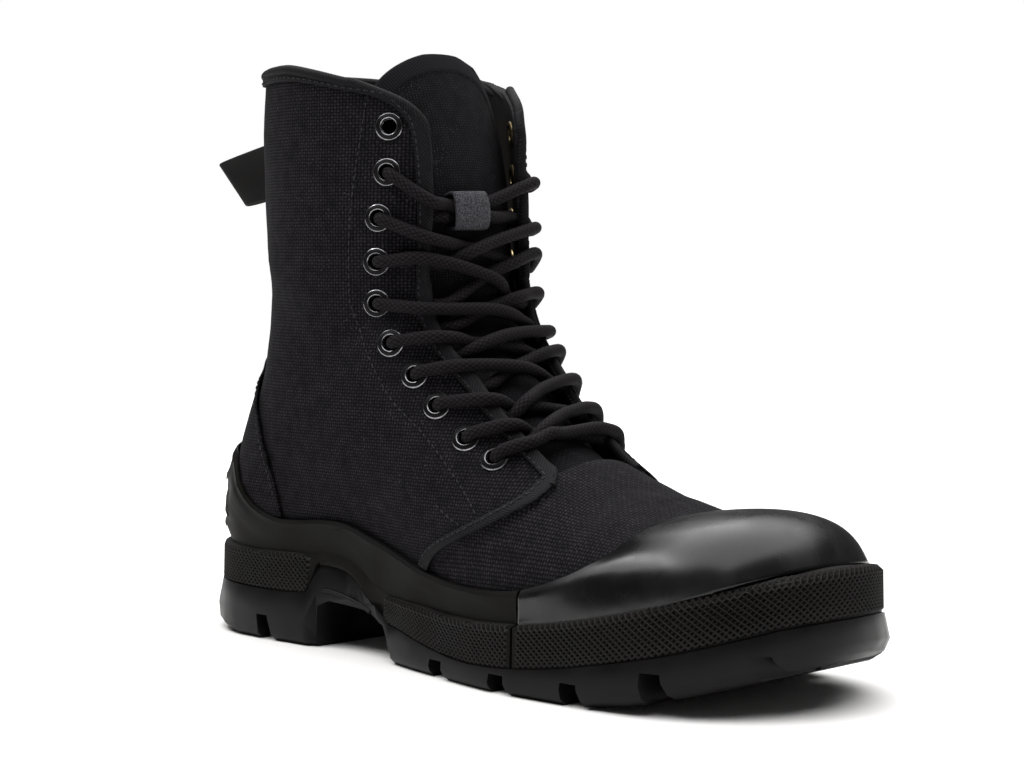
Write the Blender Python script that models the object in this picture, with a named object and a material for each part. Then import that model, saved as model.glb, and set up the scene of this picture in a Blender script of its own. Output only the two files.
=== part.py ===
"""Canvas lace-up boot for the right foot: hollow upper, rubber sole, tongue, laces and trim.

Sizes are millimetres until a mesh is made. X runs from heel to toe, Z is up, and the outer (lateral)
side of the foot is at -Y. The tables use an X that starts near the heel's back.
"""
import math
from collections import namedtuple
from functools import lru_cache

import bmesh
import bpy
import numpy as np
from mathutils import Vector
from mathutils.bvhtree import BVHTree

MM = 0.001
LATERAL, MEDIAL = -1, 1

# Driving sizes of the boot
VAMP_WALL = 1.6            # one canvas layer with its backing
QUARTER_STEP = 1.0         # the quarter's canvas laps over the vamp
GAP = 0.45                 # clearance between curved pieces
CLEAR = 0.35               # clearance of a piece laid on the canvas
OUTSOLE_REACH = 9.0        # outsole edge beyond the upper's lower edge
BAND_REACH = 6.6           # knurled band beyond the upper's lower edge
RIM_THICK = 3.2            # rubber rim over the canvas
TOE_REACH = 2.8            # how much further the sole stands out round the toe
SEAM_X = 200.0             # joint between side strip and toe pieces
SEAM_HALF = 0.4
EYELET_OUTER = 5.1
EYELET_BORE = 2.7
LACE_RADIUS = 2.2

# Plan of the upper's lower edge: half width and middle line at each distance from the heel
Plan = namedtuple("Plan", "x half_width middle")
PLAN = [
    Plan(9, 33.6, 0.0),
    Plan(45, 33.6, 0.0),
    Plan(80, 31.5, -0.8),
    Plan(110, 29.0, -2.5),
    Plan(150, 36.0, -4.0),
    Plan(195, 43.5, -4.0),
    Plan(225, 44.0, -2.5),
    Plan(250, 43.5, 0.0),
    Plan(289, 43.0, 3.5),
]
HEEL_ROUND = 36.0
TOE_ROUND = 51.0

# Sections of the upper, fanned from toe to collar. Each runs from its ridge point to its base point,
# is widest at wide_at of that height; crown and back round it over and under that place, and upright is
# the share of a wall that stands straight up on the plan instead.
Section = namedtuple(
    "Section", "ridge_x ridge_z base_x base_z wide_lat wide_med wide_at crown back upright ridge_y")
SECTIONS = [
    Section(289.0, 31.0, 282.0, 29.6, 19.0, 25.0, 0.30, 2.0, 2.0, 1.0, 3.4),
    Section(287.0, 40.0, 275.0, 28.6, 27.0, 31.5, 0.30, 2.2, 2.0, 1.0, 2.8),
    Section(282.5, 50.5, 266.0, 27.0, 34.5, 37.5, 0.30, 2.3, 2.0, 1.0, 2.2),
    Section(275.0, 57.5, 255.0, 24.8, 40.8, 42.0, 0.30, 2.3, 2.0, 1.0, 1.6),
    Section(262.0, 59.5, 243.0, 22.5, 45.0, 44.0, 0.30, 2.3, 2.0, 1.0, 1.0),
    Section(241.0, 58.6, 228.0, 20.3, 47.5, 43.5, 0.30, 2.2, 2.0, 1.0, 0.6),
    Section(218.0, 64.8, 208.0, 18.4, 48.5, 42.0, 0.32, 2.1, 2.0, 1.0, 0.3),
    Section(197.0, 71.5, 185.0, 18.0, 47.5, 40.5, 0.34, 2.0, 2.0, 1.0, 0.0),
    Section(176.5, 85.0, 160.0, 19.5, 45.0, 39.0, 0.38, 1.9, 2.0, 1.0, 0.0),
    Section(161.0, 100.0, 135.0, 23.0, 43.0, 38.5, 0.44, 1.8, 2.0, 1.0, 0.0),
    Section(151.0, 115.0, 108.0, 27.0, 42.5, 39.5, 0.50, 1.75, 2.0, 1.0, 0.0),
    Section(143.5, 127.0, 80.0, 29.0, 43.0, 41.5, 0.55, 1.7, 2.0, 1.0, 0.0),
    Section(140.5, 137.0, 52.0, 29.0, 44.0, 43.0, 0.58, 1.7, 2.0, 1.0, 0.0),
    Section(140.5, 143.5, 26.0, 29.0, 44.5, 43.5, 0.60, 1.7, 2.0, 1.0, 0.0),
    Section(140.5, 149.0, 9.0, 30.0, 44.5, 44.0, 0.60, 1.7, 2.0, 1.0, 0.0),
    Section(140.5, 158.5, 8.5, 45.0, 44.5, 44.0, 0.60, 1.7, 2.0, 0.6, 0.0),
    Section(139.7, 168.5, 18.0, 66.0, 44.5, 44.0, 0.58, 1.7, 1.95, 0.2, 0.0),
    Section(139.0, 177.0, 27.0, 88.0, 44.5, 44.0, 0.56, 1.7, 1.9, 0.0, 0.0),
    Section(138.3, 185.0, 29.5, 110.0, 45.0, 44.5, 0.54, 1.7, 1.8, 0.0, 0.0),
    Section(138.5, 192.0, 27.0, 142.0, 45.5, 45.0, 0.52, 1.7, 1.78, 0.0, 0.0),
    Section(137.6, 197.5, 26.5, 180.0, 46.0, 45.5, 0.50, 1.7, 1.78, 0.0, 0.0),
    Section(135.5, 203.5, 29.2, 216.0, 45.2, 45.2, 0.50, 1.7, 1.78, 0.0, 0.0),
]
HEEL_SECTION = 14          # the first section whose base lies on the back seam
TOP_SECTION = 21

# The collar's sides rise above the straight line from its back to its front
COLLAR_RISE = 4.6
COLLAR_CREST = 0.47        # share of the way from back to front at which it is highest
COLLAR_SPREAD = 0.22
HALF_STEPS = 60            # points of each half of a section
TRY_SECTION, TRY_SHARE = 0.04, 0.012    # steps that feel for the surface's direction

# Half gap of the lace opening, by section
Throat = namedtuple("Throat", "section half_gap")
THROAT = [
    Throat(7.3, 21.0),
    Throat(8.0, 20.5),
    Throat(9.0, 20.5),
    Throat(10.0, 22.5),
    Throat(11.0, 24.5),
    Throat(12.0, 25.0),
    Throat(14.0, 24.0),
    Throat(18.0, 23.0),
    Throat(20.0, 24.0),
    Throat(20.4, 26.0),
    Throat(20.75, 30.5),
    Throat(21.0, 38.0),
]

# Front edge of the quarter: the section it lies on, by its share of the way from throat to sole
QuarterEdge = namedtuple("QuarterEdge", "share section")
QUARTER_EDGE = [
    QuarterEdge(0.0, 7.32),
    QuarterEdge(0.07, 7.10),
    QuarterEdge(0.16, 7.04),
    QuarterEdge(0.27, 7.13),
    QuarterEdge(0.38, 7.32),
    QuarterEdge(0.52, 7.72),
    QuarterEdge(0.64, 8.22),
    QuarterEdge(0.74, 8.55),
    QuarterEdge(1.0, 8.75),
]

# Levels of the sole's side at each distance from the heel
SoleLine = namedtuple("SoleLine", "x ground strip_low band_top rim_top")
SOLE_LINES = [
    SoleLine(-4, 9.0, 20.0, 33.5, 72.0),
    SoleLine(8, 5.6, 20.0, 33.5, 63.5),
    SoleLine(20, 2.4, 20.0, 33.5, 56.0),
    SoleLine(35, 0.4, 19.8, 33.3, 50.5),
    SoleLine(50, 0.0, 19.5, 33.3, 46.8),
    SoleLine(62, 0.0, 19.5, 33.5, 45.8),
    SoleLine(77, 0.0, 20.5, 34.0, 47.0),
    SoleLine(82, 0.0, 32.0, 36.0, 47.6),
    SoleLine(94, 0.0, 31.6, 35.6, 48.0),
    SoleLine(102, 0.0, 29.0, 33.2, 46.6),
    SoleLine(107, 0.0, 23.5, 29.0, 45.3),
    SoleLine(114, 0.0, 17.5, 24.6, 43.3),
    SoleLine(124, 0.0, 14.2, 23.0, 40.8),
    SoleLine(134, 0.0, 13.0, 22.6, 38.4),
    SoleLine(146, 0.0, 11.0, 22.2, 35.0),
    SoleLine(160, 0.0, 8.9, 21.5, 32.8),
    SoleLine(178, 0.0, 8.1, 21.7, 32.4),
    SoleLine(200, 0.0, 9.4, 23.2, 34.7),
    SoleLine(225, 0.0, 12.8, 27.2, 43.0),
    SoleLine(240, 1.2, 15.8, 30.4, 48.0),
    SoleLine(255, 3.9, 18.9, 34.2, 52.0),
    SoleLine(267, 7.0, 22.2, 37.6, 55.0),
    SoleLine(280, 10.6, 26.4, 41.6, 58.0),
    SoleLine(290, 14.6, 30.0, 44.8, 60.0),
    SoleLine(300, 19.5, 32.0, 47.5, 60.0),
]
PLATFORM_RISE = 4.0        # the sole's inner platform above the upper's lower edge
INSOLE_THICK = 3.2
INSOLE_SEAT = 0.3
ARCH_REAR, ARCH_FRONT = 81.0, 130.0
ARCH_CEILING = 16.5


def smooth_curve(xs, ys):
    """A smooth curve through table values that doesn't overshoot them."""
    xs = np.asarray(xs, float)
    ys = np.asarray(ys, float)
    step = np.diff(xs)
    slope = np.diff(ys) / step
    tangent = np.zeros_like(ys)
    for k in range(1, len(xs) - 1):
        if slope[k - 1] * slope[k] > 0:
            before = 2 * step[k] + step[k - 1]
            after = step[k] + 2 * step[k - 1]
            tangent[k] = (before + after) / (before / slope[k - 1] + after / slope[k])
    tangent[0], tangent[-1] = slope[0], slope[-1]

    def at(x):
        k = int(np.clip(np.searchsorted(xs, x) - 1, 0, len(step) - 1))
        t = min(max((x - xs[k]) / step[k], 0.0), 1.0)
        start = ys[k] * (1 + 2 * t) * (1 - t) ** 2 + step[k] * tangent[k] * t * (1 - t) ** 2
        end = ys[k + 1] * t * t * (3 - 2 * t) + step[k] * tangent[k + 1] * t * t * (t - 1)
        return float(start + end)
    return at


def table_curves(table, key):
    """One smooth curve for each column of a table, against its key column."""
    keys = [getattr(row, key) for row in table]
    return {name: smooth_curve(keys, [getattr(row, name) for row in table]) for name in table[0]._fields}


plan_at = table_curves(PLAN, "x")
sole_at = table_curves(SOLE_LINES, "x")
throat_gap = smooth_curve([row.section for row in THROAT], [row.half_gap for row in THROAT])
quarter_edge = smooth_curve([row.share for row in QUARTER_EDGE], [row.section for row in QUARTER_EDGE])
section_at = {
    name: smooth_curve(range(len(SECTIONS)), [getattr(row, name) for row in SECTIONS])
    for name in Section._fields}
FOOT_SECTIONS = SECTIONS[HEEL_SECTION::-1]
base_level = smooth_curve(
    [row.base_x for row in FOOT_SECTIONS] + [SECTIONS[0].ridge_x],
    [row.base_z for row in FOOT_SECTIONS] + [SECTIONS[0].ridge_z])


def plan_edge(x, side):
    """Y of the upper's lower edge on one side."""
    first, last = PLAN[0].x, PLAN[-1].x
    x = min(max(x, first), last)
    fullness = 1.0
    if x < first + HEEL_ROUND:
        fullness *= math.sqrt(max(0.0, 1 - ((first + HEEL_ROUND - x) / HEEL_ROUND) ** 2))
    if x > last - TOE_ROUND:
        fullness *= math.sqrt(max(0.0, 1 - ((x - last + TOE_ROUND) / TOE_ROUND) ** 2))
    return plan_at["middle"](x) + side * plan_at["half_width"](x) * fullness


# The upper's surface

@lru_cache(maxsize=None)
def half_section(s, side):
    """Points of half a section from ridge to base, and each one's share of its length."""
    row = {name: curve(s) for name, curve in section_at.items()}
    width = row["wide_lat"] if side == LATERAL else row["wide_med"]
    ridge_y = row["ridge_y"] * side
    end = 0.0
    if s < HEEL_SECTION:
        end = max(0.0, side * plan_edge(row["base_x"], side))
    turn = np.linspace(0, math.pi / 2, HALF_STEPS)
    over = np.cos(turn) ** (2 / row["crown"])
    across = np.sin(turn) ** (2 / row["crown"])
    over[-1], across[0] = 0.0, 0.0
    high = row["wide_at"] + (1 - row["wide_at"]) * over
    wide = ridge_y + (width - ridge_y) * across
    rise = np.cos(turn[1:]) ** 2
    rise[-1] = 0.0
    rounded = end + (width - end) * (1 - (1 - rise) ** row["back"]) ** (1 / row["back"])
    run = row["ridge_x"] - row["base_x"]
    reach = run * row["wide_at"]
    wall = np.array([max(0.0, side * plan_edge(row["base_x"] + reach * share, side)) for share in rise])
    upright = wall + (width - wall) * rise * rise * (3 - 2 * rise)
    high = np.concatenate([high, row["wide_at"] * rise])
    wide = np.concatenate([wide, row["upright"] * upright + (1 - row["upright"]) * rounded])
    crest = COLLAR_RISE * max(s - TOP_SECTION + 1, 0.0)
    level = row["base_z"] + (row["ridge_z"] - row["base_z"]) * high
    level = level + crest * np.exp(-((high - COLLAR_CREST) / COLLAR_SPREAD) ** 2)
    points = np.stack([row["base_x"] + run * high, side * wide, level], axis=1)
    length = np.concatenate([[0], np.cumsum(np.linalg.norm(np.diff(points, axis=0), axis=1))])
    return points, length / length[-1]


def on_last(s, w):
    """Point of the upper's surface; w is the signed share of the way from ridge to base."""
    if abs(w) > 1:
        w = math.copysign(2 - abs(w), -w)
    points, share = half_section(round(s, 5), LATERAL if w < 0 else MEDIAL)
    return np.array([np.interp(abs(w), share, points[:, k]) for k in range(3)])


UNDERCUT = -0.4            # the wall's direction never turns further down than this


def surface_frame(s, w):
    """Point, the two tangents and the outward normal of the upper's surface."""
    low, high = max(s - TRY_SECTION, 0.0), min(s + TRY_SECTION, float(TOP_SECTION))
    left, right = w - TRY_SHARE, w + TRY_SHARE
    if s < HEEL_SECTION:
        left, right = max(left, -1.0), min(right, 1.0)
    along = (on_last(high, w) - on_last(low, w)) / (high - low)
    across = (on_last(s, right) - on_last(s, left)) / (right - left)
    normal = -np.cross(along, across)
    normal = normal / np.linalg.norm(normal)
    normal[2] = max(normal[2], UNDERCUT)
    return on_last(s, w), along, across, normal / np.linalg.norm(normal)


def off_last(s, w, distance):
    """A point at a distance outside the upper's surface."""
    point, _, _, normal = surface_frame(s, w)
    return point + distance * normal


def throat_share(s, side):
    """Share of the section at which the lace opening ends."""
    points, share = half_section(round(s, 5), side)
    half = len(points) // 2
    return float(np.interp(throat_gap(s), np.abs(points[:half, 1]), share[:half]))


def section_length(s, side):
    """Length of half a section from ridge to base."""
    points, _ = half_section(round(s, 5), side)
    return float(np.linalg.norm(np.diff(points, axis=0), axis=1).sum())


def find_on_last(x, z, side, guess):
    """Section and share of the surface point that lies at x and z on one side."""
    s, w = guess[0], guess[1] * side
    for _ in range(40):
        point, along, across, _ = surface_frame(s, w)
        slope = np.array([[along[0], across[0]], [along[2], across[2]]])
        change = np.linalg.lstsq(slope, np.array([x - point[0], z - point[2]]), rcond=None)[0]
        s = float(np.clip(s + 0.6 * change[0], 0.05, TOP_SECTION - 0.05))
        w = side * float(np.clip(side * (w + 0.6 * change[1]), 0.02, 0.999))
    return s, w


# Making meshes

def make_material(name, colour, roughness, metallic=0.0):
    """A plain finish for one kind of piece."""
    material = bpy.data.materials.new(name)
    material.use_nodes = True
    shader = material.node_tree.nodes["Principled BSDF"]
    shader.inputs["Base Color"].default_value = (*colour, 1.0)
    shader.inputs["Roughness"].default_value = roughness
    shader.inputs["Metallic"].default_value = metallic
    return material


def add_piece(name, points, faces, material, parent):
    """A smooth-shaded object from points in millimetres."""
    mesh = bpy.data.meshes.new(name)
    mesh.from_pydata([tuple(float(v) * MM for v in point) for point in points], [], faces)
    body = bmesh.new()
    body.from_mesh(mesh)
    bmesh.ops.recalc_face_normals(body, faces=body.faces)
    body.to_mesh(mesh)
    body.free()
    mesh.shade_smooth()
    mesh.set_sharp_from_angle(angle=math.radians(38))
    mesh.materials.append(material)
    piece = bpy.data.objects.new(name, mesh)
    bpy.context.scene.collection.objects.link(piece)
    piece.parent = parent
    return piece


def sheet_solid(cells, outer, inner):
    """Closes a patch of four-cornered cells into a solid between its outer and inner points."""
    keys = []
    index = {}
    for cell in cells:
        for key in cell:
            if key not in index:
                index[key] = len(keys)
                keys.append(key)
    count = len(keys)
    points = [outer[key] for key in keys] + [inner[key] for key in keys]
    faces = []
    edges = {}
    for cell in cells:
        ring = list(dict.fromkeys(index[key] for key in cell))
        faces.append(ring)
        faces.append([count + ring[0]] + [count + k for k in reversed(ring[1:])])
        for a, b in zip(ring, ring[1:] + ring[:1]):
            edges[(a, b)] = True
    for a, b in edges:
        if (b, a) not in edges:
            faces.append([b, a, count + a, count + b])
    return points, faces


def grid_cells(rows, columns):
    """Cells of a plain grid of row and column numbers."""
    return [((r, c), (r + 1, c), (r + 1, c + 1), (r, c + 1)) for r in range(rows) for c in range(columns)]


def ring_solid(rings, closed):
    """A solid whose cross-sections are rings of points; an open run gets flat ends."""
    size = len(rings[0])
    points = [point for ring in rings for point in ring]
    faces = []
    count = len(rings)
    for r in range(count if closed else count - 1):
        here, there = r * size, (r + 1) % count * size
        for k in range(size):
            nxt = (k + 1) % size
            faces.append([here + k, here + nxt, there + nxt, there + k])
    if not closed:
        faces.append(list(range(size)))
        faces.append([(count - 1) * size + k for k in reversed(range(size))])
    return points, faces


def swept_tube(path, radius, sides):
    """A round tube along a path, with flat ends."""
    path = np.asarray(path)
    rings = []
    previous = None
    for k in range(len(path)):
        direction = path[min(k + 1, len(path) - 1)] - path[max(k - 1, 0)]
        direction = direction / np.linalg.norm(direction)
        if previous is None:
            previous = np.cross(direction, [0.0, 0.0, 1.0])
        first = previous - direction * np.dot(previous, direction)
        first = first / np.linalg.norm(first)
        previous = first
        second = np.cross(direction, first)
        turns = [2 * math.pi * n / sides for n in range(sides)]
        rings.append([path[k] + radius * (math.cos(a) * first + math.sin(a) * second) for a in turns])
    return ring_solid(rings, closed=False)


def through(points, steps):
    """A smooth path through a few points, evenly stepped between them."""
    points = np.asarray(points, float)
    padded = np.vstack([2 * points[0] - points[1], points, 2 * points[-1] - points[-2]])
    path = []
    for k in range(1, len(padded) - 2):
        for step in range(steps):
            t = step / steps
            a, b, c, d = padded[k - 1:k + 3]
            path.append(0.5 * (2 * b + (c - a) * t + (2 * a - 5 * b + 4 * c - d) * t ** 2
                               + (3 * b - a - 3 * c + d) * t ** 3))
    path.append(padded[-2])
    return np.array(path)


def combine(piece, other, operation, solver="EXACT"):
    """Cuts a piece with another solid, joins them or keeps what they share; the other becomes a guide."""
    step = piece.modifiers.new(other.name, "BOOLEAN")
    step.operation = operation
    step.solver = solver
    step.object = other
    other.hide_render = True
    other.display_type = "WIRE"


# Upper

VAMP_ROWS, SIDE_ROWS, SHAFT_ROWS = 10, 10, 10
RIDGE_COLUMNS, SIDE_COLUMNS = 3, 11
LAP_ROW = VAMP_ROWS + 1
HEEL_ROW = LAP_ROW + SIDE_ROWS
TOP_ROW = HEEL_ROW + SHAFT_ROWS
LAST_COLUMN = RIDGE_COLUMNS + SIDE_COLUMNS
LAP_EASE = 0.03
HEEL_CROWD = 1.6           # rows crowd round the heel, where they fan out
BACK_CROWD = 1.35          # and columns towards the sole and the back seam
BINDING_WIDTH = 5.6
BINDING_THICK = 0.9


def column_share(s, side, count):
    """Share of a section at one column, counted from the ridge; the first past the opening ends its tape."""
    gap = throat_share(s, side)
    if count <= RIDGE_COLUMNS:
        return gap * count / RIDGE_COLUMNS
    tape = gap + BINDING_WIDTH / section_length(s, side)
    left = (LAST_COLUMN - count) / (SIDE_COLUMNS - 1)
    return tape + (1 - tape) * (1 - left ** BACK_CROWD)


def tape_step(s, w):
    """Change of section that moves a tape's width over the surface."""
    return BINDING_WIDTH / float(np.linalg.norm(surface_frame(s, w)[1]))


def upper_place(row, column):
    """Section and signed share of one grid point of the upper."""
    side = LATERAL if column < 0 else MEDIAL
    count = abs(column)
    start = QUARTER_EDGE[0].section
    gap = throat_share(start, side)
    w = column_share(start, side, count)
    edge = quarter_edge(max(0.0, (w - gap) / (1 - gap)))
    if row <= VAMP_ROWS:
        return edge * row / VAMP_ROWS, side * w
    if row <= HEEL_ROW:
        s = edge + LAP_EASE
        if row > LAP_ROW:
            s += tape_step(s, side * w)
            s = HEEL_SECTION - (HEEL_SECTION - s) * ((HEEL_ROW - row) / (SIDE_ROWS - 1)) ** HEEL_CROWD
    else:
        s = float(TOP_SECTION)
        if row < TOP_ROW:
            s -= tape_step(s, side * column_share(s, side, count))
            climb = (row - HEEL_ROW) / (SHAFT_ROWS - 1)
            s = HEEL_SECTION + (s - HEEL_SECTION) * climb
    return s, side * column_share(s, side, count)


def upper_key(row, column):
    """Both sides share their points on the back seam."""
    if row >= HEEL_ROW and column == -LAST_COLUMN:
        column = LAST_COLUMN
    return row, column


def upper_cells(keep):
    """Cells of the upper's grid that a test of row and outer column keeps, clear of the lace opening."""
    cells = []
    for row in range(TOP_ROW):
        for column in range(-LAST_COLUMN, LAST_COLUMN):
            count = max(abs(column), abs(column + 1))
            if row >= VAMP_ROWS and count <= RIDGE_COLUMNS or not keep(row, count):
                continue
            corners = ((row, column), (row + 1, column), (row + 1, column + 1), (row, column + 1))
            cells.append(tuple(upper_key(*corner) for corner in corners))
    return cells


def shell_on_upper(cells, low, high):
    """A shell over some cells of the upper, between two distances from its outer face."""
    outer, inner = {}, {}
    for key in {key for cell in cells for key in cell}:
        step = QUARTER_STEP if key[0] >= LAP_ROW else 0.0
        outer[key] = off_last(*upper_place(*key), step + high)
        inner[key] = off_last(*upper_place(*key), step + low)
    return outer, inner


def make_upper(material, parent):
    """The hollow upper, with the quarters standing a step above the vamp."""
    cells = upper_cells(lambda row, count: True)
    outer, _ = shell_on_upper(cells, 0.0, 0.0)
    inner = {key: off_last(*upper_place(*key), -VAMP_WALL) for key in outer}
    points, faces = sheet_solid(cells, outer, inner)
    add_piece("upper", points, faces, material, parent)
    keys = list(outer)
    number = {key: n for n, key in enumerate(keys)}
    skin = [[number[key] for key in dict.fromkeys(cell)] for cell in cells]
    return BVHTree.FromPolygons([tuple(outer[key]) for key in keys], skin)


# Stations round the sole

Station = namedtuple("Station", "x y out_x out_y side")
PROBE_START = 60.0         # from this far out the canvas is felt for
TOE_EASE_FROM, TOE_EASE_LENGTH = 212.0, 60.0
HEEL_TURNS = (13, 27, 41, 55, 68, 80)              # degrees round the heel
TOE_TURNS = (10, 22, 34, 46, 58, 69, 80)           # and round the toe
HEEL_STOPS = (54.0, 66.0)
ARCH_STOPS = (77.0, 82.0, 88.0, 96.0, 103.0, 109.0, 117.0, 127.0)
SIDE_STOPS = (136.0, 145.0, 154.0, 165.0, 178.0, 190.0)
BALL_STOPS = (210.0, 222.0, 232.0)
EDGE_FEEL = 0.8            # height over the upper's lower edge at which it is felt for
ARCH_LEAD, ARCH_RISE, ARCH_TRAIL, ARCH_FALL = 4.0, 6.0, 2.0, 22.0


def make_stations():
    """Places round the upper's lower edge, in lateral and medial pairs from heel to toe."""
    first, last = PLAN[0].x, PLAN[-1].x
    heel = [first + HEEL_ROUND * (1 - math.cos(math.radians(turn))) for turn in HEEL_TURNS]
    toe = [last - TOE_ROUND * (1 - math.sin(math.radians(turn))) for turn in TOE_TURNS]
    seam = [SEAM_X - SEAM_HALF, SEAM_X + SEAM_HALF]
    places = [*heel, *HEEL_STOPS, *ARCH_STOPS, *SIDE_STOPS, *seam, *BALL_STOPS, *toe]
    ring = [(first, 0.0, 0)]
    ring += [(x, plan_edge(x, LATERAL), LATERAL) for x in places]
    ring += [(last, plan_at["middle"](last), 0)]
    ring += [(x, plan_edge(x, MEDIAL), MEDIAL) for x in reversed(places)]
    stations = []
    for k, (x, y, side) in enumerate(ring):
        before, after = ring[k - 1], ring[(k + 1) % len(ring)]
        along = np.array([after[0] - before[0], after[1] - before[1]])
        along = along / np.linalg.norm(along)
        stations.append(Station(x, y, float(along[1]), float(-along[0]), side))
    return stations


def flip_outward(stations):
    """Turns each station's direction away from the boot's middle."""
    middle = (PLAN[0].x + PLAN[-1].x) / 2
    sample = next(st for st in stations if st.side == LATERAL and st.x > middle)
    sign = 1.0 if sample.out_y < 0 else -1.0
    return [st._replace(out_x=sign * st.out_x, out_y=sign * st.out_y) for st in stations]


def at_station(station, reach, z):
    """Point at a reach outside the upper's lower edge."""
    return np.array([station.x + station.out_x * reach, station.y + station.out_y * reach, z])


def skin_reach(skin, station, z):
    """How far the canvas stands out from its lower edge at one height."""
    start = at_station(station, PROBE_START, z)
    inward = Vector((-station.out_x, -station.out_y, 0.0))
    distance = skin.ray_cast(Vector(start), inward, 1.5 * PROBE_START)[3]
    return None if distance is None else PROBE_START - distance


def reach_or_edge(skin, station, z):
    """The canvas's reach, or that of its lower edge below it."""
    found = skin_reach(skin, station, z)
    if found is None:
        found = skin_reach(skin, station, base_level(station.x) + EDGE_FEEL)
    return 0.0 if found is None else found


def toe_reach(x):
    """Extra reach of the sole towards the toe."""
    rise = min(max((x - TOE_EASE_FROM) / TOE_EASE_LENGTH, 0.0), 1.0)
    return TOE_REACH * rise * rise * (3 - 2 * rise)


def in_arch(x):
    """1 within the arch and 0 in heel and forefoot, eased between."""
    rise = min(max((x - ARCH_REAR + ARCH_LEAD) / ARCH_RISE, 0.0), 1.0)
    fall = min(max((ARCH_FRONT - ARCH_TRAIL - x) / ARCH_FALL, 0.0), 1.0)
    return min(rise, fall)


# Sole

RIM_LEVELS = (0.88, 0.74, 0.61, 0.48, 0.35, 0.22)      # shares of the rim's height
HEEL_RIBS = RIM_LEVELS[1::2]
RIB_HEIGHT = 1.5
RIB_END_X, RIB_FADE = 34.0, 24.0
RIM_ROUND = 1.3
PANEL_THICK = 1.2          # least thickness of rubber beside the canvas
HIDDEN_GAP = 1.8           # clearance to the canvas where nothing shows
RIM_GAP = 0.8              # and at the rim's top edge
BEND_GAP = 1.0             # more of both where the plan bends sharply
HEEL_BEND, TOE_BEND = 44.0, 262.0
INSIDE_LEVELS = (0.0, 0.4, 0.75)
INSIDE_START = 0.3         # share of a strip's height at which its inside may start to follow the canvas
LIP_SHARE = 0.75           # share of the rim's thickness left at its top
BAND_LEAST = 3.0           # least height of the knurled band
BAND_STEP, ARCH_STEP, TOE_STEP = 0.9, 0.5, 0.6     # how far the band stands out from the rim
SHOULDER_RISE = 0.2
BAND_DRAFT = 0.3           # the band leans in this much to its top
TOP_ROUND, LOW_ROUND = 0.6, 0.4
TOE_LEDGE = 1.5            # width of the toe strip's top ledge


def strip_inside(skin, station, low, top, top_gap):
    """Inner side of a strip, clear of the canvas."""
    first = max(base_level(station.x), low + INSIDE_START * (top - low))
    levels = [low] + [first + (top - first) * share for share in INSIDE_LEVELS]
    more = 0.0 if HEEL_BEND < station.x < TOE_BEND else BEND_GAP
    inside = [(reach_or_edge(skin, station, z) + HIDDEN_GAP + more, z) for z in levels]
    return inside + [(reach_or_edge(skin, station, top) + top_gap + more, top)]


def strip_profile(skin, station):
    """Cross-section of the side strip: knurled band below, plain rim above, ribs at the heel's back."""
    edge_x = station.x + station.out_x * BAND_REACH
    low, band, top = (sole_at[name](edge_x) for name in ("strip_low", "band_top", "rim_top"))
    arch = in_arch(edge_x)
    band = max(band, low + BAND_LEAST)
    rib = RIB_HEIGHT * min(max((RIB_END_X - edge_x) / RIB_FADE, 0.0), 1.0)
    profile = strip_inside(skin, station, low, top, RIM_GAP)
    rim = reach_or_edge(skin, station, top)
    profile += [(rim + LIP_SHARE * RIM_THICK, top), (rim + RIM_THICK, top - RIM_ROUND)]
    rise = top - RIM_ROUND - band
    for share in RIM_LEVELS:
        z = band + rise * share
        bump = rib if share in HEEL_RIBS else 0.0
        profile.append((reach_or_edge(skin, station, z) + RIM_THICK + bump, z))
    shoulder = reach_or_edge(skin, station, band) + RIM_THICK
    reach = max(BAND_REACH, shoulder + BAND_STEP) * (1 - arch) + (shoulder + ARCH_STEP) * arch
    profile += [(shoulder, band + SHOULDER_RISE), (reach - BAND_DRAFT, band - TOP_ROUND)]
    profile += [(reach, low + LOW_ROUND), (reach - LOW_ROUND, low)]
    return [at_station(station, reach, z) for reach, z in profile]


def bumper_profile(skin, station):
    """Cross-section of the knurled strip round the toe."""
    edge_x = station.x + station.out_x * BAND_REACH
    low, band = sole_at["strip_low"](edge_x), sole_at["band_top"](edge_x)
    profile = strip_inside(skin, station, low, band, HIDDEN_GAP)
    canvas = reach_or_edge(skin, station, band)
    shoulder = max(canvas + HIDDEN_GAP + BEND_GAP + PANEL_THICK, BAND_REACH - TOE_LEDGE + toe_reach(edge_x))
    outer = max(BAND_REACH + toe_reach(edge_x), shoulder + TOE_STEP)
    profile += [(shoulder, band), (outer - BAND_DRAFT, band - TOP_ROUND)]
    profile += [(outer, low + LOW_ROUND), (outer - LOW_ROUND, low)]
    return [at_station(station, reach, z) for reach, z in profile]


def rim_line(skin, stations, rear, front, rise):
    """Side view of the rubber rim's top edge between two distances from the heel."""
    line = []
    for st in stations:
        if st.side != MEDIAL and rear <= st.x <= front:
            top = sole_at["rim_top"](st.x + st.out_x * BAND_REACH)
            point = at_station(st, reach_or_edge(skin, st, top), top)
            line.append((float(point[0]), top + rise))
    line.sort(reverse=True)
    for k in range(1, len(line)):
        if line[k][0] < HEEL_ROUND:
            line[k] = (line[k][0], max(line[k][1], line[k - 1][1]))
    return line[::-1]


def run_of(stations, keep):
    """Stations that one strip passes, in order, starting at its first end."""
    flags = [keep(st) for st in stations]
    start = next(k for k in range(len(flags)) if flags[k] and not flags[k - 1])
    order = [stations[(start + k) % len(stations)] for k in range(len(stations))]
    return [st for st in order if keep(st)]


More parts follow.
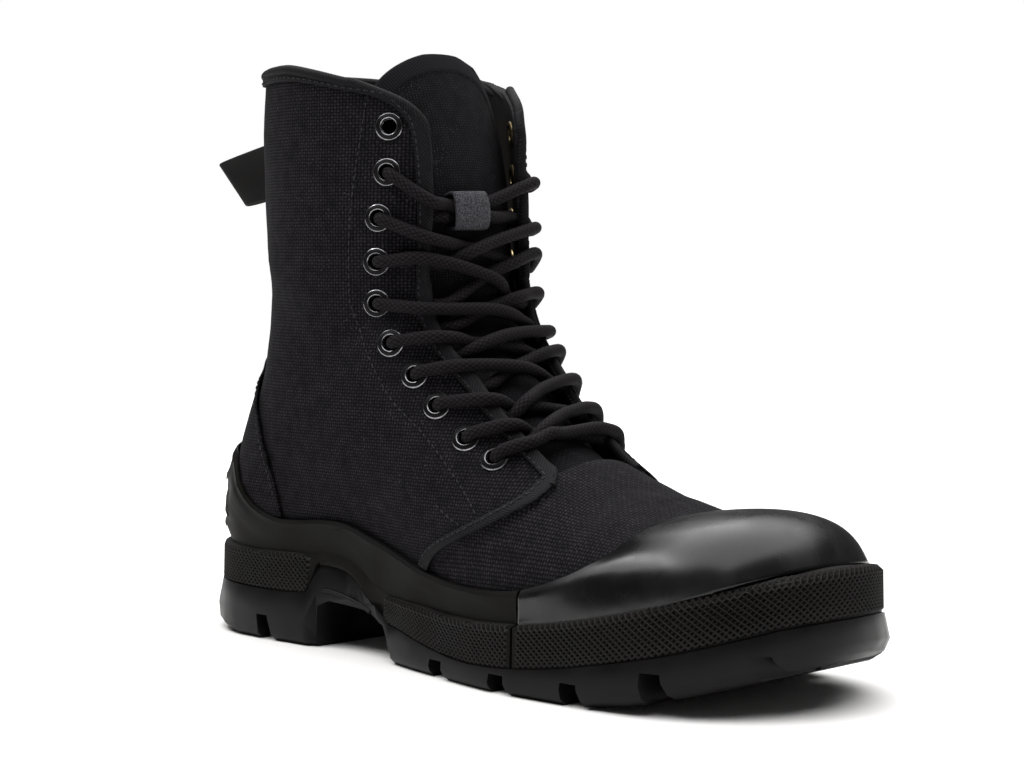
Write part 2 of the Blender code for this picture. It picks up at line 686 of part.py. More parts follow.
def make_strips(skin, stations, material, parent):
    """The side strip round the heel and the toe's own strip, butted at the seams."""
    rear = run_of(stations, lambda st: st.x < SEAM_X)
    front = run_of(stations, lambda st: st.x > SEAM_X)
    for name, run, profile in (("foxing", rear, strip_profile), ("toe_bumper", front, bumper_profile)):
        points, faces = ring_solid([profile(skin, st) for st in run], closed=False)
        add_piece(name, points, faces, material, parent)


def ledge_gap(x):
    """Clearance under a strip, more where its lower edge climbs."""
    climb = (sole_at["strip_low"](x + 1) - sole_at["strip_low"](x - 1)) / 2
    return GAP * math.hypot(1.0, climb)


SOLE_STEP = 0.6            # the outsole's top edge stands out this much beyond the strip
SOLE_SEAT = 0.2
ARCH_TUCK = 2.6            # the arch's wall lies this much further in
WALL_SHARE = 0.45          # share of the side's height at which it is widest
PANEL_OVER = 3.0           # height of the arch panel's lower edge over the arch's ceiling
CHAMFER_HIGH, CHAMFER_IN = 2.2, 2.6
WALL_LEAN = 0.5
TOE_LEAN_IN, TOE_CHAMFER = 0.4, 0.9    # shares of the toe's extra reach that the lower edges give back


def outsole_profile(skin, station):
    """Cross-section of the outsole's edge, from its inner platform out and down to the tread."""
    edge_x = station.x + station.out_x * BAND_REACH
    low, ground = sole_at["strip_low"](edge_x), sole_at["ground"](edge_x)
    base = base_level(station.x)
    arch = in_arch(edge_x)
    ledge = low - ledge_gap(edge_x)
    canvas = max(reach_or_edge(skin, station, max(ledge, base + EDGE_FEEL)), 0.0)
    step = canvas + (SOLE_SEAT if ledge < base else HIDDEN_GAP)
    panel = canvas + HIDDEN_GAP + PANEL_THICK
    extra = toe_reach(edge_x)
    top = max(BAND_REACH + SOLE_STEP + extra, panel + SOLE_STEP) * (1 - arch) + panel * arch
    wall = (OUTSOLE_REACH + extra) * (1 - arch) + (OUTSOLE_REACH - ARCH_TUCK) * arch
    wall_low = ground + WALL_SHARE * (ledge - ground) if arch < 0.5 else ARCH_CEILING + PANEL_OVER
    inset = platform_inset(station.x)
    return [
        at_station(station, -inset, base + PLATFORM_RISE),
        at_station(station, -inset, base - 2 * GAP),
        at_station(station, step, min(base - 2 * GAP, ledge - SOLE_SEAT)),
        at_station(station, step, ledge),
        at_station(station, top, ledge),
        at_station(station, wall, wall_low),
        at_station(station, wall - WALL_LEAN - TOE_LEAN_IN * extra, ground + CHAMFER_HIGH),
        at_station(station, wall - CHAMFER_IN - TOE_CHAMFER * extra, ground),
    ]


PLATFORM_INSET, TOE_INSET = 4.0, 8.0
INSOLE_INSET = 1.2         # the foot bed stops this much short of the platform's edge


def platform_inset(x):
    """How far the inner platform keeps from the upper's lower edge, more under the low toe."""
    rise = min(max((x - PLAN[-1].x + TOE_ROUND) / TOE_ROUND, 0.0), 1.0)
    return PLATFORM_INSET + TOE_INSET * rise ** 3


def ladder_faces(count, first, flip):
    """Cross strips between lateral and medial points of one ring, from heel to toe."""
    faces = []
    for k in range(count // 2):
        ring = [first + k, first + k + 1, first + (count - k - 1) % count, first + (count - k) % count]
        ring = list(dict.fromkeys(ring))
        faces.append(ring[::-1] if flip else ring)
    return faces


def layered_solid(rings):
    """A solid from rings that run round the boot, closed across at its top and bottom ring."""
    count = len(rings[0])
    points = [point for ring in rings for point in ring]
    faces = []
    for level in range(len(rings) - 1):
        for k in range(count):
            nxt = (k + 1) % count
            here, there = level * count, (level + 1) * count
            faces.append([here + k, here + nxt, there + nxt, there + k])
    faces += ladder_faces(count, 0, False)
    faces += ladder_faces(count, (len(rings) - 1) * count, True)
    return points, faces


def make_prism(name, outline, low_y, high_y, material, parent):
    """A prism along Y from an outline in X and Z."""
    rings = [[(x, y, z) for x, z in outline] for y in (low_y, high_y)]
    points, faces = ring_solid(rings, closed=False)
    return add_piece(name, points, faces, material, parent)


CUT_REACH = 70.0
CUT_BELOW = 12.0           # cutters start this far below the tread
CUT_BESIDE = 40.0          # and end this far outside the sole

# The arch's outline: its place behind the front end (or ahead of the rear) and its height under the ceiling
ARCH_FOOT_HIGH, ARCH_FOOT_IN = 4.0, 1.5
ARCH_KNEE_DROP, ARCH_KNEE_IN = 3.5, 8.0
ARCH_CROWN_IN = 18.0
ARCH_BACK_RISE, ARCH_BACK_IN = 1.5, 8.0
ARCH_CORNER_DROP, ARCH_CORNER_IN = 1.0, 2.0

# Notches between the lugs: rear and front edge at the tread, depth, and how far in from the side they run
Notch = namedtuple("Notch", "rear front depth inset")
NOTCHES = [
    Notch(52, 60, 9.5, 12),
    Notch(156, 165, 6.2, 15),
    Notch(191, 200, 6.4, 17),
    Notch(224, 233, 7.6, 17),
    Notch(255, 264, 9.4, 15),
    Notch(285, 292, 7.0, 12),
]
NOTCH_LEAN, NOTCH_BACK = 2.5, 0.5    # how far back a notch's front and rear side lean
GROOVE_DEPTH, GROOVE_INSET = 2.6, 2.0    # shallow groove that joins a pair of notches


def make_outsole(skin, stations, material, parent):
    """Moulded tread with its inner platform, arch and lugs."""
    profiles = [outsole_profile(skin, st) for st in stations]
    rings = [[profile[level] for profile in profiles] for level in range(len(profiles[0]))]
    points, faces = layered_solid(rings)
    sole = add_piece("outsole", points, faces, material, parent)
    arch = [
        (ARCH_REAR, -CUT_BELOW),
        (ARCH_FRONT, -CUT_BELOW),
        (ARCH_FRONT - ARCH_FOOT_IN, ARCH_FOOT_HIGH),
        (ARCH_FRONT - ARCH_KNEE_IN, ARCH_CEILING - ARCH_KNEE_DROP),
        (ARCH_FRONT - ARCH_CROWN_IN, ARCH_CEILING),
        (ARCH_REAR + ARCH_BACK_IN, ARCH_CEILING + ARCH_BACK_RISE),
        (ARCH_REAR + ARCH_CORNER_IN, ARCH_CEILING - ARCH_CORNER_DROP),
    ]
    combine(sole, make_prism("arch_cutter", arch, -CUT_REACH, CUT_REACH, material, parent), "DIFFERENCE")
    for number, notch in enumerate(NOTCHES):
        middle_x = (notch.rear + notch.front) / 2
        level = sole_at["ground"](middle_x)
        below = level - CUT_BELOW
        outline = [
            (notch.rear, below),
            (notch.front, below),
            (notch.front, level),
            (notch.front - NOTCH_LEAN, level + notch.depth),
            (notch.rear - NOTCH_BACK, level + notch.depth),
            (notch.rear, level),
        ]
        rear, front = notch.rear + GROOVE_INSET, notch.front - GROOVE_INSET
        roof = level + GROOVE_DEPTH
        groove = [(rear, below), (front, below), (front, roof), (rear, roof)]
        cutter = make_prism(f"groove_cutter_{number}", groove, -CUT_REACH, CUT_REACH, material, parent)
        combine(sole, cutter, "DIFFERENCE")
        for side in (LATERAL, MEDIAL):
            edge = plan_edge(middle_x, side) + side * OUTSOLE_REACH
            span = sorted((edge - side * notch.inset, edge + side * CUT_BESIDE))
            name = f"notch_cutter_{number}_{'lateral' if side == LATERAL else 'medial'}"
            combine(sole, make_prism(name, outline, *span, material, parent), "DIFFERENCE")


def make_insole(stations, material, parent):
    """Foot bed that lies on the platform inside the upper."""
    low, high = [], []
    for st in stations:
        level = base_level(st.x) + PLATFORM_RISE + INSOLE_SEAT
        inset = platform_inset(st.x) + INSOLE_INSET
        low.append(at_station(st, -inset, level))
        high.append(at_station(st, -inset, level + INSOLE_THICK))
    points, faces = layered_solid([high, low])
    add_piece("insole", points, faces, material, parent)


# Toe cap

CAP_RIDGE_X = 239.0
CAP_OUTER, CAP_INNER, CAP_EDGE = 3.2, 0.9, 1.7
CAP_LENGTHS, CAP_STEPS = 18, 6
CAP_SEAT = 0.6             # clearance over the toe strip
CAP_FLARE = 0.9            # extra thickness at its lower edge
CAP_SEAM_GAP = 0.5
CAP_SECTIONS = (7.6, 1.2, 90)      # sections its lower edge is looked for on: first, last and how many
CAP_FRONT_SECTIONS = (3.5, 0.8, 120)
CAP_TOP_SECTIONS = (4.0, 5.0, 6.0)
CAP_GUESS = (6.0, 0.5)
TOE_LEAN = 2.5             # the canvas leans back this much between its lower edge and the strip's top
CapEdge = namedtuple("CapEdge", "x z")
CAP_EDGE_LINE = [
    CapEdge(200.6, 34.9),
    CapEdge(209.5, 37.2),
    CapEdge(221.0, 41.3),
    CapEdge(232.0, 47.5),
]


def band_level(point):
    """Height of the toe strip's top edge outside a point of the canvas."""
    swing = max(0.0, 1 - (point[1] / PLAN[-1].half_width) ** 2)
    return sole_at["band_top"](point[0] + (BAND_REACH + TOE_LEAN) * math.sqrt(swing))


def band_share(s, side):
    """Share of a section at which it comes down to the knurled band."""
    points, share = half_section(round(s, 5), side)
    over = np.array([p[2] - band_level(p) - GAP for p in points])
    below = np.nonzero(over < 0)[0]
    if len(below) == 0 or below[0] == 0:
        return None
    k = below[0]
    t = over[k - 1] / (over[k - 1] - over[k])
    return float(share[k - 1] + t * (share[k] - share[k - 1]))


def even_path(points, count):
    """Points at even steps along a polyline of section and share, measured on the surface."""
    points = np.asarray(points)
    spots = np.array([on_last(s, w) for s, w in points])
    length = np.concatenate([[0], np.cumsum(np.linalg.norm(np.diff(spots, axis=0), axis=1))])
    steps = np.linspace(0, length[-1], count)
    return np.stack([np.interp(steps, length, points[:, k]) for k in range(2)], axis=1)


def cap_half(side):
    """Lower edge and rear edge of the cap on one side, from seam to middle."""
    lower = []
    for s in np.linspace(*CAP_SECTIONS):
        w = band_share(s, side)
        if w is None:
            continue
        point = on_last(s, side * w)
        if point[0] < SEAM_X + CAP_SEAM_GAP:
            continue
        lower.append((s, side * w))
    front = [(s, on_last(s, 0.0)) for s in np.linspace(*CAP_FRONT_SECTIONS)]
    lower.append((next(s for s, point in front if point[2] < band_level(point) + GAP), 0.0))
    rear = [find_on_last(row.x, row.z, side, CAP_GUESS) for row in CAP_EDGE_LINE]
    top = np.interp(-CAP_RIDGE_X, [-on_last(s, 0.0)[0] for s in CAP_TOP_SECTIONS], CAP_TOP_SECTIONS)
    rear.append((float(top), 0.0))
    return even_path(lower, CAP_LENGTHS), even_path(rear, CAP_LENGTHS)


def make_toe_cap(material, parent):
    """Domed rubber cap between the toe strip and its curved rear edge."""
    outer, inner = {}, {}
    for side in (LATERAL, MEDIAL):
        lower, rear = cap_half(side)
        for k in range(CAP_LENGTHS):
            column = side * (CAP_LENGTHS - 1 - k)
            for step in range(CAP_STEPS + 1):
                t = step / CAP_STEPS
                s, w = lower[k] * (1 - t) + rear[k] * t
                proud = CAP_OUTER + CAP_FLARE * (1 - t) ** 3
                if step == CAP_STEPS:
                    proud = CAP_EDGE
                outer[step, column] = off_last(s, w, proud)
                inner[step, column] = off_last(s, w, CAP_INNER)
                if step == 0:
                    seat = band_level(on_last(s, w)) + CAP_SEAT
                    outer[step, column][2] = inner[step, column][2] = seat
    span = CAP_LENGTHS - 1
    cells = [((r, c), (r + 1, c), (r + 1, c + 1), (r, c + 1))
             for r in range(CAP_STEPS) for c in range(-span, span)]
    points, faces = sheet_solid(cells, outer, inner)
    add_piece("toe_cap", points, faces, material, parent)


# Tongue

Tongue = namedtuple("Tongue", "x z half_width bend")
TONGUE = [
    Tongue(109.5, 219.5, 9.0, 44.0),
    Tongue(110.7, 217.6, 19.0, 44.0),
    Tongue(113.0, 213.0, 27.5, 44.0),
    Tongue(116.2, 206.0, 31.0, 44.0),
    Tongue(122.0, 190.0, 31.5, 44.0),
    Tongue(126.2, 168.0, 31.5, 44.0),
    Tongue(127.6, 152.0, 31.0, 44.0),
    Tongue(129.4, 137.0, 29.0, 44.0),
    Tongue(133.0, 124.0, 27.0, 44.0),
    Tongue(139.0, 112.0, 26.5, 42.0),
    Tongue(148.0, 100.5, 26.0, 40.0),
    Tongue(165.0, 85.0, 25.5, 38.0),
    Tongue(183.0, 73.0, 24.5, 37.0),
    Tongue(204.0, 63.8, 21.0, 39.0),
]
TONGUE_THICK = 2.4
TONGUE_COLUMNS = 8


def tongue_point(row, share, depth):
    """Point of the tongue at a share of its half width and a depth below its face."""
    rows = len(TONGUE)
    before, here, after = TONGUE[max(row - 1, 0)], TONGUE[row], TONGUE[min(row + 1, rows - 1)]
    along = np.array([after.x - before.x, 0.0, after.z - before.z])
    along = along / np.linalg.norm(along)
    inward = np.array([along[2], 0.0, -along[0]])
    y = share * here.half_width
    bend = here.bend
    sag = bend - math.sqrt(bend ** 2 - y ** 2)
    lean = y / bend
    face = np.array([here.x, y, here.z]) + sag * inward
    cross = np.array([0.0, -lean, 0.0]) + math.sqrt(1 - lean ** 2) * inward
    return face + depth * cross


def make_tongue(material, parent):
    """Curved canvas tongue with a round top, behind the lace opening."""
    outer, inner = {}, {}
    for row in range(len(TONGUE)):
        for column in range(TONGUE_COLUMNS + 1):
            share = 2 * column / TONGUE_COLUMNS - 1
            outer[row, column] = tongue_point(row, share, 0.0)
            inner[row, column] = tongue_point(row, share, TONGUE_THICK)
    points, faces = sheet_solid(grid_cells(len(TONGUE) - 1, TONGUE_COLUMNS), outer, inner)
    add_piece("tongue", points, faces, material, parent)


# Trim on the upper

# Front edge of the heel counter, seen from the side
CounterEdge = namedtuple("CounterEdge", "x z")
COUNTER_EDGE = [
    CounterEdge(61.0, 45.0),
    CounterEdge(60.0, 60.0),
    CounterEdge(58.0, 71.0),
    CounterEdge(54.0, 81.0),
    CounterEdge(49.0, 91.0),
    CounterEdge(42.5, 100.0),
    CounterEdge(34.0, 109.0),
    CounterEdge(20.0, 113.0),
]
COUNTER_THICK = 1.0
COUNTER_SEAT = 0.6         # clearance under the counter
COUNTER_COLUMNS = 6        # columns of the upper that the counter may cover, from the back seam
COUNTER_FRONT_ROW = HEEL_ROW - 6
TRIM_RISE = 0.5            # trim ends this far above the rubber rim
BEHIND_HEEL = -30.0
COUNTER_FRONT_X = 70.0     # the rubber rim is followed this far for the counter's lower edge
BINDING_REAR_X = 110.0     # and from here on for the tape's


def make_heel_counter(skin, stations, material, parent):
    """Canvas patch round the heel's back: a shell on the quarters, cut to the counter's side view."""
    first = LAST_COLUMN - COUNTER_COLUMNS
    cells = upper_cells(lambda row, count: COUNTER_FRONT_ROW <= row < TOP_ROW - 1 and count > first)
    points, faces = sheet_solid(cells, *shell_on_upper(cells, COUNTER_SEAT, COUNTER_SEAT + COUNTER_THICK))
    counter = add_piece("heel_counter", points, faces, material, parent)
    rim = rim_line(skin, stations, 0.0, COUNTER_FRONT_X, TRIM_RISE)
    lower = [place for place in rim if place[0] < COUNTER_EDGE[0].x]
    corner = (COUNTER_EDGE[0].x, lower[-1][1])
    edge = [corner, *COUNTER_EDGE[1:]]
    outline = [(BEHIND_HEEL, lower[0][1]), *lower, *edge, (BEHIND_HEEL, COUNTER_EDGE[-1].z)]
    trim = make_prism("counter_outline", outline, -CUT_REACH, CUT_REACH, material, parent)
    combine(counter, trim, "INTERSECT", "MANIFOLD")


def make_edge_binding(skin, stations, material, parent):
    """Twill tape along the collar, the lace opening and the quarters' front edges, down to the rubber rim."""
    def on_edge(row, count):
        return row >= LAP_ROW and (row in (LAP_ROW, TOP_ROW - 1) or count == RIDGE_COLUMNS + 1)
    cells = upper_cells(on_edge)
    points, faces = sheet_solid(cells, *shell_on_upper(cells, CLEAR, CLEAR + BINDING_THICK))
    binding = add_piece("edge_binding", points, faces, material, parent)
    line = rim_line(skin, stations, BINDING_REAR_X, SEAM_X, TRIM_RISE)
    outline = line + [(line[-1][0], -CUT_REACH), (line[0][0], -CUT_REACH)]
    guide = make_prism("rim_guide", outline, -CUT_REACH, CUT_REACH, material, parent)
    combine(binding, guide, "DIFFERENCE")


PullLoop = namedtuple("PullLoop", "root_x root_low root_high end_low_x end_low end_high_x end_high")
PULL_LOOP = PullLoop(25.2, 170.0, 193.0, -5.0, 165.0, -22.5, 182.5)
TAPE_THICK = 1.1
LOOP_OPEN = 1.3            # half opening near the fold
FOLD_FROM = 0.9            # share of its length at which the fold starts
FOLD_BULGE = TAPE_THICK / 40.0

# The loop's opening at shares of its length
LoopStep = namedtuple("LoopStep", "share open")
LOOP_STEPS = [
    LoopStep(0.0, 0.12),
    LoopStep(0.3, 0.5),
    LoopStep(0.6, 1.0),
    LoopStep(0.85, 1.0),
    LoopStep(0.96, 0.6),
    LoopStep(1.0, 0.0),
]


def make_pull_loop(material, parent):
    """Folded tape at the back seam, drooping a little."""
    loop = PULL_LOOP
    outline = [(row.share, LOOP_OPEN * row.open) for row in LOOP_STEPS]
    outline += [(t, -y) for t, y in reversed(outline[:-1])]
    rings = []
    for t, y in outline:
        spread = TAPE_THICK * (1 if y > 0 else -1 if y < 0 else 0)
        tip = FOLD_BULGE * (1 - abs(y) / LOOP_OPEN) if t > FOLD_FROM else 0.0
        ring = []
        for reach, width in ((t + tip, y + spread), (t, y)):
            low = (loop.root_x + (loop.end_low_x - loop.root_x) * reach,
                   loop.root_low + (loop.end_low - loop.root_low) * reach)
            high = (loop.root_x + (loop.end_high_x - loop.root_x) * reach,
                    loop.root_high + (loop.end_high - loop.root_high) * reach)
            pair = [(low[0], width, low[1]), (high[0], width, high[1])]
            ring += pair if not ring else pair[::-1]
        rings.append(ring)
    points, faces = ring_solid(rings, closed=True)
    add_piece("pull_loop", points, faces, material, parent)


# Eyelets and laces

# Each eyelet pair: its section, its distance from the edge of the lace opening, its height over the canvas
Eyelet = namedtuple("Eyelet", "section setback seat")
EYELETS = [
    Eyelet(19.8, 13.0, 0.55),
    Eyelet(18.45, 16.7, 0.55),
    Eyelet(17.15, 22.0, 0.55),
    Eyelet(15.7, 23.5, 0.55),
    Eyelet(14.4, 23.5, 0.55),
    Eyelet(12.05, 19.0, 0.7),
    Eyelet(10.75, 15.8, 0.7),
    Eyelet(9.85, 17.3, 0.7),
    Eyelet(8.9, 16.2, 0.7),
    Eyelet(8.2, 13.2, 0.7),
]
EYELET_SIDES = 8
EYELET_HEIGHT = 1.1
EYELET_CROWN = 0.45        # share of the flange at which the ring is highest
FACING_SECTIONS = (7.35, 20.2, 260)    # sections the facing's edge is looked for on
TONGUE_SAMPLES = 400


def eyelet_place(number, side):
    """Section and share of one eyelet's middle."""
    row = EYELETS[number]
    share = throat_share(row.section, side) + row.setback / section_length(row.section, side)
    return row.section, side * share


def make_eyelets(material, parent):
    """Rolled metal rings set on the facings."""
    crown = EYELET_BORE + EYELET_CROWN * (EYELET_OUTER - EYELET_BORE)
    profile = [(EYELET_BORE, 0.0), (EYELET_OUTER, 0.0), (crown, EYELET_HEIGHT)]
    for side, word in ((LATERAL, "lateral"), (MEDIAL, "medial")):
        for number in range(len(EYELETS)):
            s, w = eyelet_place(number, side)
            _, along, _, normal = surface_frame(s, w)
            first = along - normal * np.dot(along, normal)
            first = first / np.linalg.norm(first)
            second = np.cross(normal, first)
            seat = off_last(s, w, QUARTER_STEP + EYELETS[number].seat)
            rings = []
            for k in range(EYELET_SIDES):
                turn = 2 * math.pi * k / EYELET_SIDES
                out = math.cos(turn) * first + math.sin(turn) * second
                rings.append([seat + radius * out + height * normal for radius, height in profile])
            points, faces = ring_solid(rings, closed=True)
            add_piece(f"eyelet_{word}_{number + 1}", points, faces, material, parent)


def over_tongue(x, z, y, height):
    """Point at a height above the tongue's face, beside the place nearest to x and z."""
    rows = np.linspace(0, len(TONGUE) - 1, TONGUE_SAMPLES)
    line_x = np.interp(rows, range(len(TONGUE)), [row.x for row in TONGUE])
    line_z = np.interp(rows, range(len(TONGUE)), [row.z for row in TONGUE])
    k = int(np.argmin((line_x - x) ** 2 + (line_z - z) ** 2))
    low = int(min(rows[k], len(TONGUE) - 2))
    t = rows[k] - low
    ends = []
    for row in (low, low + 1):
        ends.append(tongue_point(row, y / TONGUE[row].half_width, -height))
    return ends[0] * (1 - t) + ends[1] * t


def facing_point(s, side, height, inset):
    """Point above the edge of the lace opening, a distance in from it."""
    return off_last(s, side * (throat_share(s, side) + inset / section_length(s, side)), height)


def level_of(number, side):
    """Section at which the lace opening's edge passes nearest to an eyelet."""
    eyelet = on_last(*eyelet_place(number, side))
    choices = np.linspace(*FACING_SECTIONS)
    spots = [on_last(s, side * throat_share(s, side)) for s in choices]
    return float(choices[int(np.argmin([np.linalg.norm(spot - eyelet) for spot in spots]))])


LACE_SIDES, LACE_STEPS = 5, 2
KEEPER_LEVEL = 1           # the keeper holds the runs of the second eyelets
KEEPER_X, KEEPER_MIDDLE_Y, KEEPER_WIDTH = 127.0, -4.0, 13.0
KEEPER_TOP_Z, KEEPER_LOW_Z = 172.5, 156.5
KEEPER_MIDDLE_Z = (KEEPER_TOP_Z + KEEPER_LOW_Z) / 2
KEEPER_SLOPE = 0.5         # how much a run still falls while it passes the keeper
KEEPER_THICK = 1.2
KEEPER_ROOM = 0.4          # clearance over the runs it holds

# The keeper's height over the tongue at shares of its length, as a share of its full height
KeeperStep = namedtuple("KeeperStep", "share lift")
KEEPER_STEPS = [
    KeeperStep(0.0, 0.0),
    KeeperStep(0.1, 0.0),
    KeeperStep(0.2, 0.75),
    KeeperStep(0.32, 1.0),
    KeeperStep(0.68, 1.0),
    KeeperStep(0.8, 0.75),
    KeeperStep(0.9, 0.0),
    KeeperStep(1.0, 0.0),
]
LACE_LIFT = 1.7            # clearance where a run turns over the edge of the lace opening
LACE_LIP = 1.2             # and how far past the edge it turns
LACE_CLEAR = 0.5
LACE_DIP = 1.8             # clearance over the tongue where a run goes in under the far facing
LACE_TUCK = 4.2            # a run's end stops this far inside the far edge
LACE_APPROACH, LACE_EASE = 0.6, 0.8    # share of the half gap at which it comes down, and its height there
BAR_RISE = 3.0
LACE_PRESS = 0.7           # how far the two runs of a crossing press together
LACE_GROUPS = ((8,), (7,), (6,), (5, 4, 3, 2), (1,))    # levels whose crossings press together
FACING_STACK = QUARTER_STEP + CLEAR + BINDING_THICK


def lace_start(number, side):
    """Beside the eyelet, and over the edge of the lace opening."""
    s, w = eyelet_place(number, side)
    normal = surface_frame(s, w)[3]
    level = level_of(number, side)
    edge = facing_point(level, side, FACING_STACK + LACE_LIFT + LACE_RADIUS, -LACE_LIP)
    seat = off_last(s, w, FACING_STACK + LACE_RADIUS)
    away = edge - seat
    away = away - normal * np.dot(away, normal)
    away = away / np.linalg.norm(away)
    return seat + away * (EYELET_OUTER + LACE_CLEAR), edge


def lace_run(number, side, height):
    """One run from its eyelet across the tongue to the far facing, a level lower."""
    beside, edge = lace_start(number, side)
    low = level_of(number + 1, -side)
    landing = on_last(low, -side * throat_share(low, -side))
    middle = (edge + landing) / 2
    gap = throat_gap(low)
    over = [over_tongue(middle[0], middle[2], 0.0, height)]
    if number == KEEPER_LEVEL:
        over = []
        for turn in (-1, 1):
            z = KEEPER_MIDDLE_Z - turn * KEEPER_SLOPE
            over.append(over_tongue(KEEPER_X, z, KEEPER_MIDDLE_Y - turn * side * KEEPER_WIDTH / 2, height))
    dip = LACE_RADIUS + LACE_DIP
    return through([
        beside,
        edge,
        *over,
        over_tongue(landing[0], landing[2], -side * LACE_APPROACH * gap, dip + LACE_EASE),
        over_tongue(landing[0], landing[2], -side * (gap - LACE_TUCK), dip),
    ], LACE_STEPS)


def make_laces(material, parent):
    """The straight bar over the lowest eyelets, and the crossings above it, joined where they press together."""
    under = LACE_RADIUS + LACE_CLEAR
    over = under + 2 * LACE_RADIUS - LACE_PRESS
    last = len(EYELETS) - 1
    left, left_edge = lace_start(last, LATERAL)
    right, right_edge = lace_start(last, MEDIAL)
    top = (left_edge + right_edge) / 2 + np.array([0.0, 0.0, BAR_RISE])
    bar = through([left, left_edge, top, right_edge, right], LACE_STEPS)
    points, faces = swept_tube(bar, LACE_RADIUS, LACE_SIDES)
    add_piece("lace_bar", points, faces, material, parent)
    for group in LACE_GROUPS:
        runs = []
        for number in group:
            heights = (over, under) if number % 2 else (under, over)
            for side, height in zip((LATERAL, MEDIAL), heights):
                points, faces = swept_tube(lace_run(number, side, height), LACE_RADIUS, LACE_SIDES)
                name = f"lace_run_{number + 1}_{'lateral' if side == LATERAL else 'medial'}"
                runs.append(add_piece(name, points, faces, material, parent))
        for other in runs[1:]:
            combine(runs[0], other, "UNION")
        runs[0].name = f"lace_cross_{group[-1] + 1}"


def make_lace_keeper(material, parent):
    """Webbing loop on the tongue that holds the top crossing."""
    high = LACE_RADIUS * 4 + 2 * LACE_CLEAR - LACE_PRESS + KEEPER_ROOM
    outer, inner = {}, {}
    for row, step in enumerate(KEEPER_STEPS):
        z = KEEPER_TOP_Z + (KEEPER_LOW_Z - KEEPER_TOP_Z) * step.share
        height = max(step.lift * high, CLEAR)
        for column in range(3):
            y = KEEPER_MIDDLE_Y + KEEPER_WIDTH * (column / 2 - 0.5)
            outer[row, column] = over_tongue(KEEPER_X, z, y, height + KEEPER_THICK)
            inner[row, column] = over_tongue(KEEPER_X, z, y, height)
    points, faces = sheet_solid(grid_cells(len(KEEPER_STEPS) - 1, 2), outer, inner)
    add_piece("lace_keeper", points, faces, material, parent)


def stand_on_origin(root):
    """Moves the boot so that the middle of its foot is the origin."""
    corners = []
    for piece in bpy.context.scene.objects:
        if piece.type == "MESH" and not piece.hide_render:
            corners += [vertex.co for vertex in piece.data.vertices]
    low = [min(co[k] for co in corners) for k in range(3)]
    high = [max(co[k] for co in corners) for k in range(3)]
    root.location = (-(low[0] + high[0]) / 2, -(low[1] + high[1]) / 2, -low[2])


def main():
    """Clears the scene and builds every piece under one empty at the boot's foot."""
    for item in list(bpy.data.objects):
        bpy.data.objects.remove(item, do_unlink=True)
    root = bpy.data.objects.new("boot_frame", None)
    bpy.context.scene.collection.objects.link(root)
    canvas = make_material("black_canvas", (0.012, 0.012, 0.014), 0.9)
    rubber = make_material("black_rubber", (0.015, 0.014, 0.014), 0.45)
    gloss = make_material("gloss_rubber", (0.01, 0.01, 0.01), 0.2)
    tape = make_material("twill_tape", (0.01, 0.01, 0.011), 0.8)
    cord = make_material("braided_cord", (0.012, 0.011, 0.011), 0.75)
    webbing = make_material("grey_webbing", (0.09, 0.09, 0.1), 0.85)
    metal = make_material("dark_nickel", (0.06, 0.06, 0.065), 0.3, 1.0)
    stations = flip_outward(make_stations())
    skin = make_upper(canvas, root)
    make_strips(skin, stations, rubber, root)
    make_outsole(skin, stations, rubber, root)
    make_insole(stations, canvas, root)
    make_toe_cap(gloss, root)
    make_tongue(canvas, root)
    make_heel_counter(skin, stations, canvas, root)
    make_edge_binding(skin, stations, tape, root)
    make_pull_loop(tape, root)
    make_eyelets(metal, root)
    make_laces(cord, root)
    make_lace_keeper(webbing, root)
    stand_on_origin(root)


main()
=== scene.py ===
import math
from collections import namedtuple

import bmesh
import bpy
import numpy as np
from mathutils import Matrix, Vector, noise
from mathutils.bvhtree import BVHTree
from mathutils.kdtree import KDTree


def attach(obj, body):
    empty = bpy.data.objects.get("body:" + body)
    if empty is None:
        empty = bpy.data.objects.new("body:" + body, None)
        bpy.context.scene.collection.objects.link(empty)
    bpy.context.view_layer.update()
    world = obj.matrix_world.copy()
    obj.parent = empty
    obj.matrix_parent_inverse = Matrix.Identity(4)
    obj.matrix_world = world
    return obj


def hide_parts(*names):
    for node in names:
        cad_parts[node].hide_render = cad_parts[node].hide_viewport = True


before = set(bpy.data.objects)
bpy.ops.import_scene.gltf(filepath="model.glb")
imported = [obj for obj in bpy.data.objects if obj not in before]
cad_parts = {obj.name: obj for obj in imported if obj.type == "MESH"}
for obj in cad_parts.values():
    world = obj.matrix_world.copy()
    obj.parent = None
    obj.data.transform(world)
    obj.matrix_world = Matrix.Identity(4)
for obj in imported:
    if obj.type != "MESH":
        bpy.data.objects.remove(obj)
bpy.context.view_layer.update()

# Lengths are in metres unless a name ends in _MM, which is millimetres.
# Places in millimetres count from the heel's back on the middle line.
MM = 0.001
HEEL_MM = Vector((-138.494, 1.62, 0.0))
LATERAL, MEDIAL = -1.0, 1.0
UP = Vector((0.0, 0.0, 1.0))
# How far a line is cast to find a surface
REACH = 0.2


def place(x, y, z):
    """A place given in millimetres from the heel, in the model's frame."""
    return (Vector((x, y, z)) + HEEL_MM) * MM


def from_heel(point):
    """Millimetres from the heel of a place in the model's frame."""
    return Vector(point) / MM - HEEL_MM


def table(columns, *rows):
    """A short table with named columns."""
    row_kind = namedtuple("Row", columns)
    return [row_kind(*row) for row in rows]


# Materials


def linear(code):
    """Linear colour of an sRGB hex value."""
    parts = [int(code[k:k + 2], 16) / 255 for k in (1, 3, 5)]
    return tuple(c / 12.92 if c <= 0.04045 else ((c + 0.055) / 1.055) ** 2.4 for c in parts) + (1.0,)


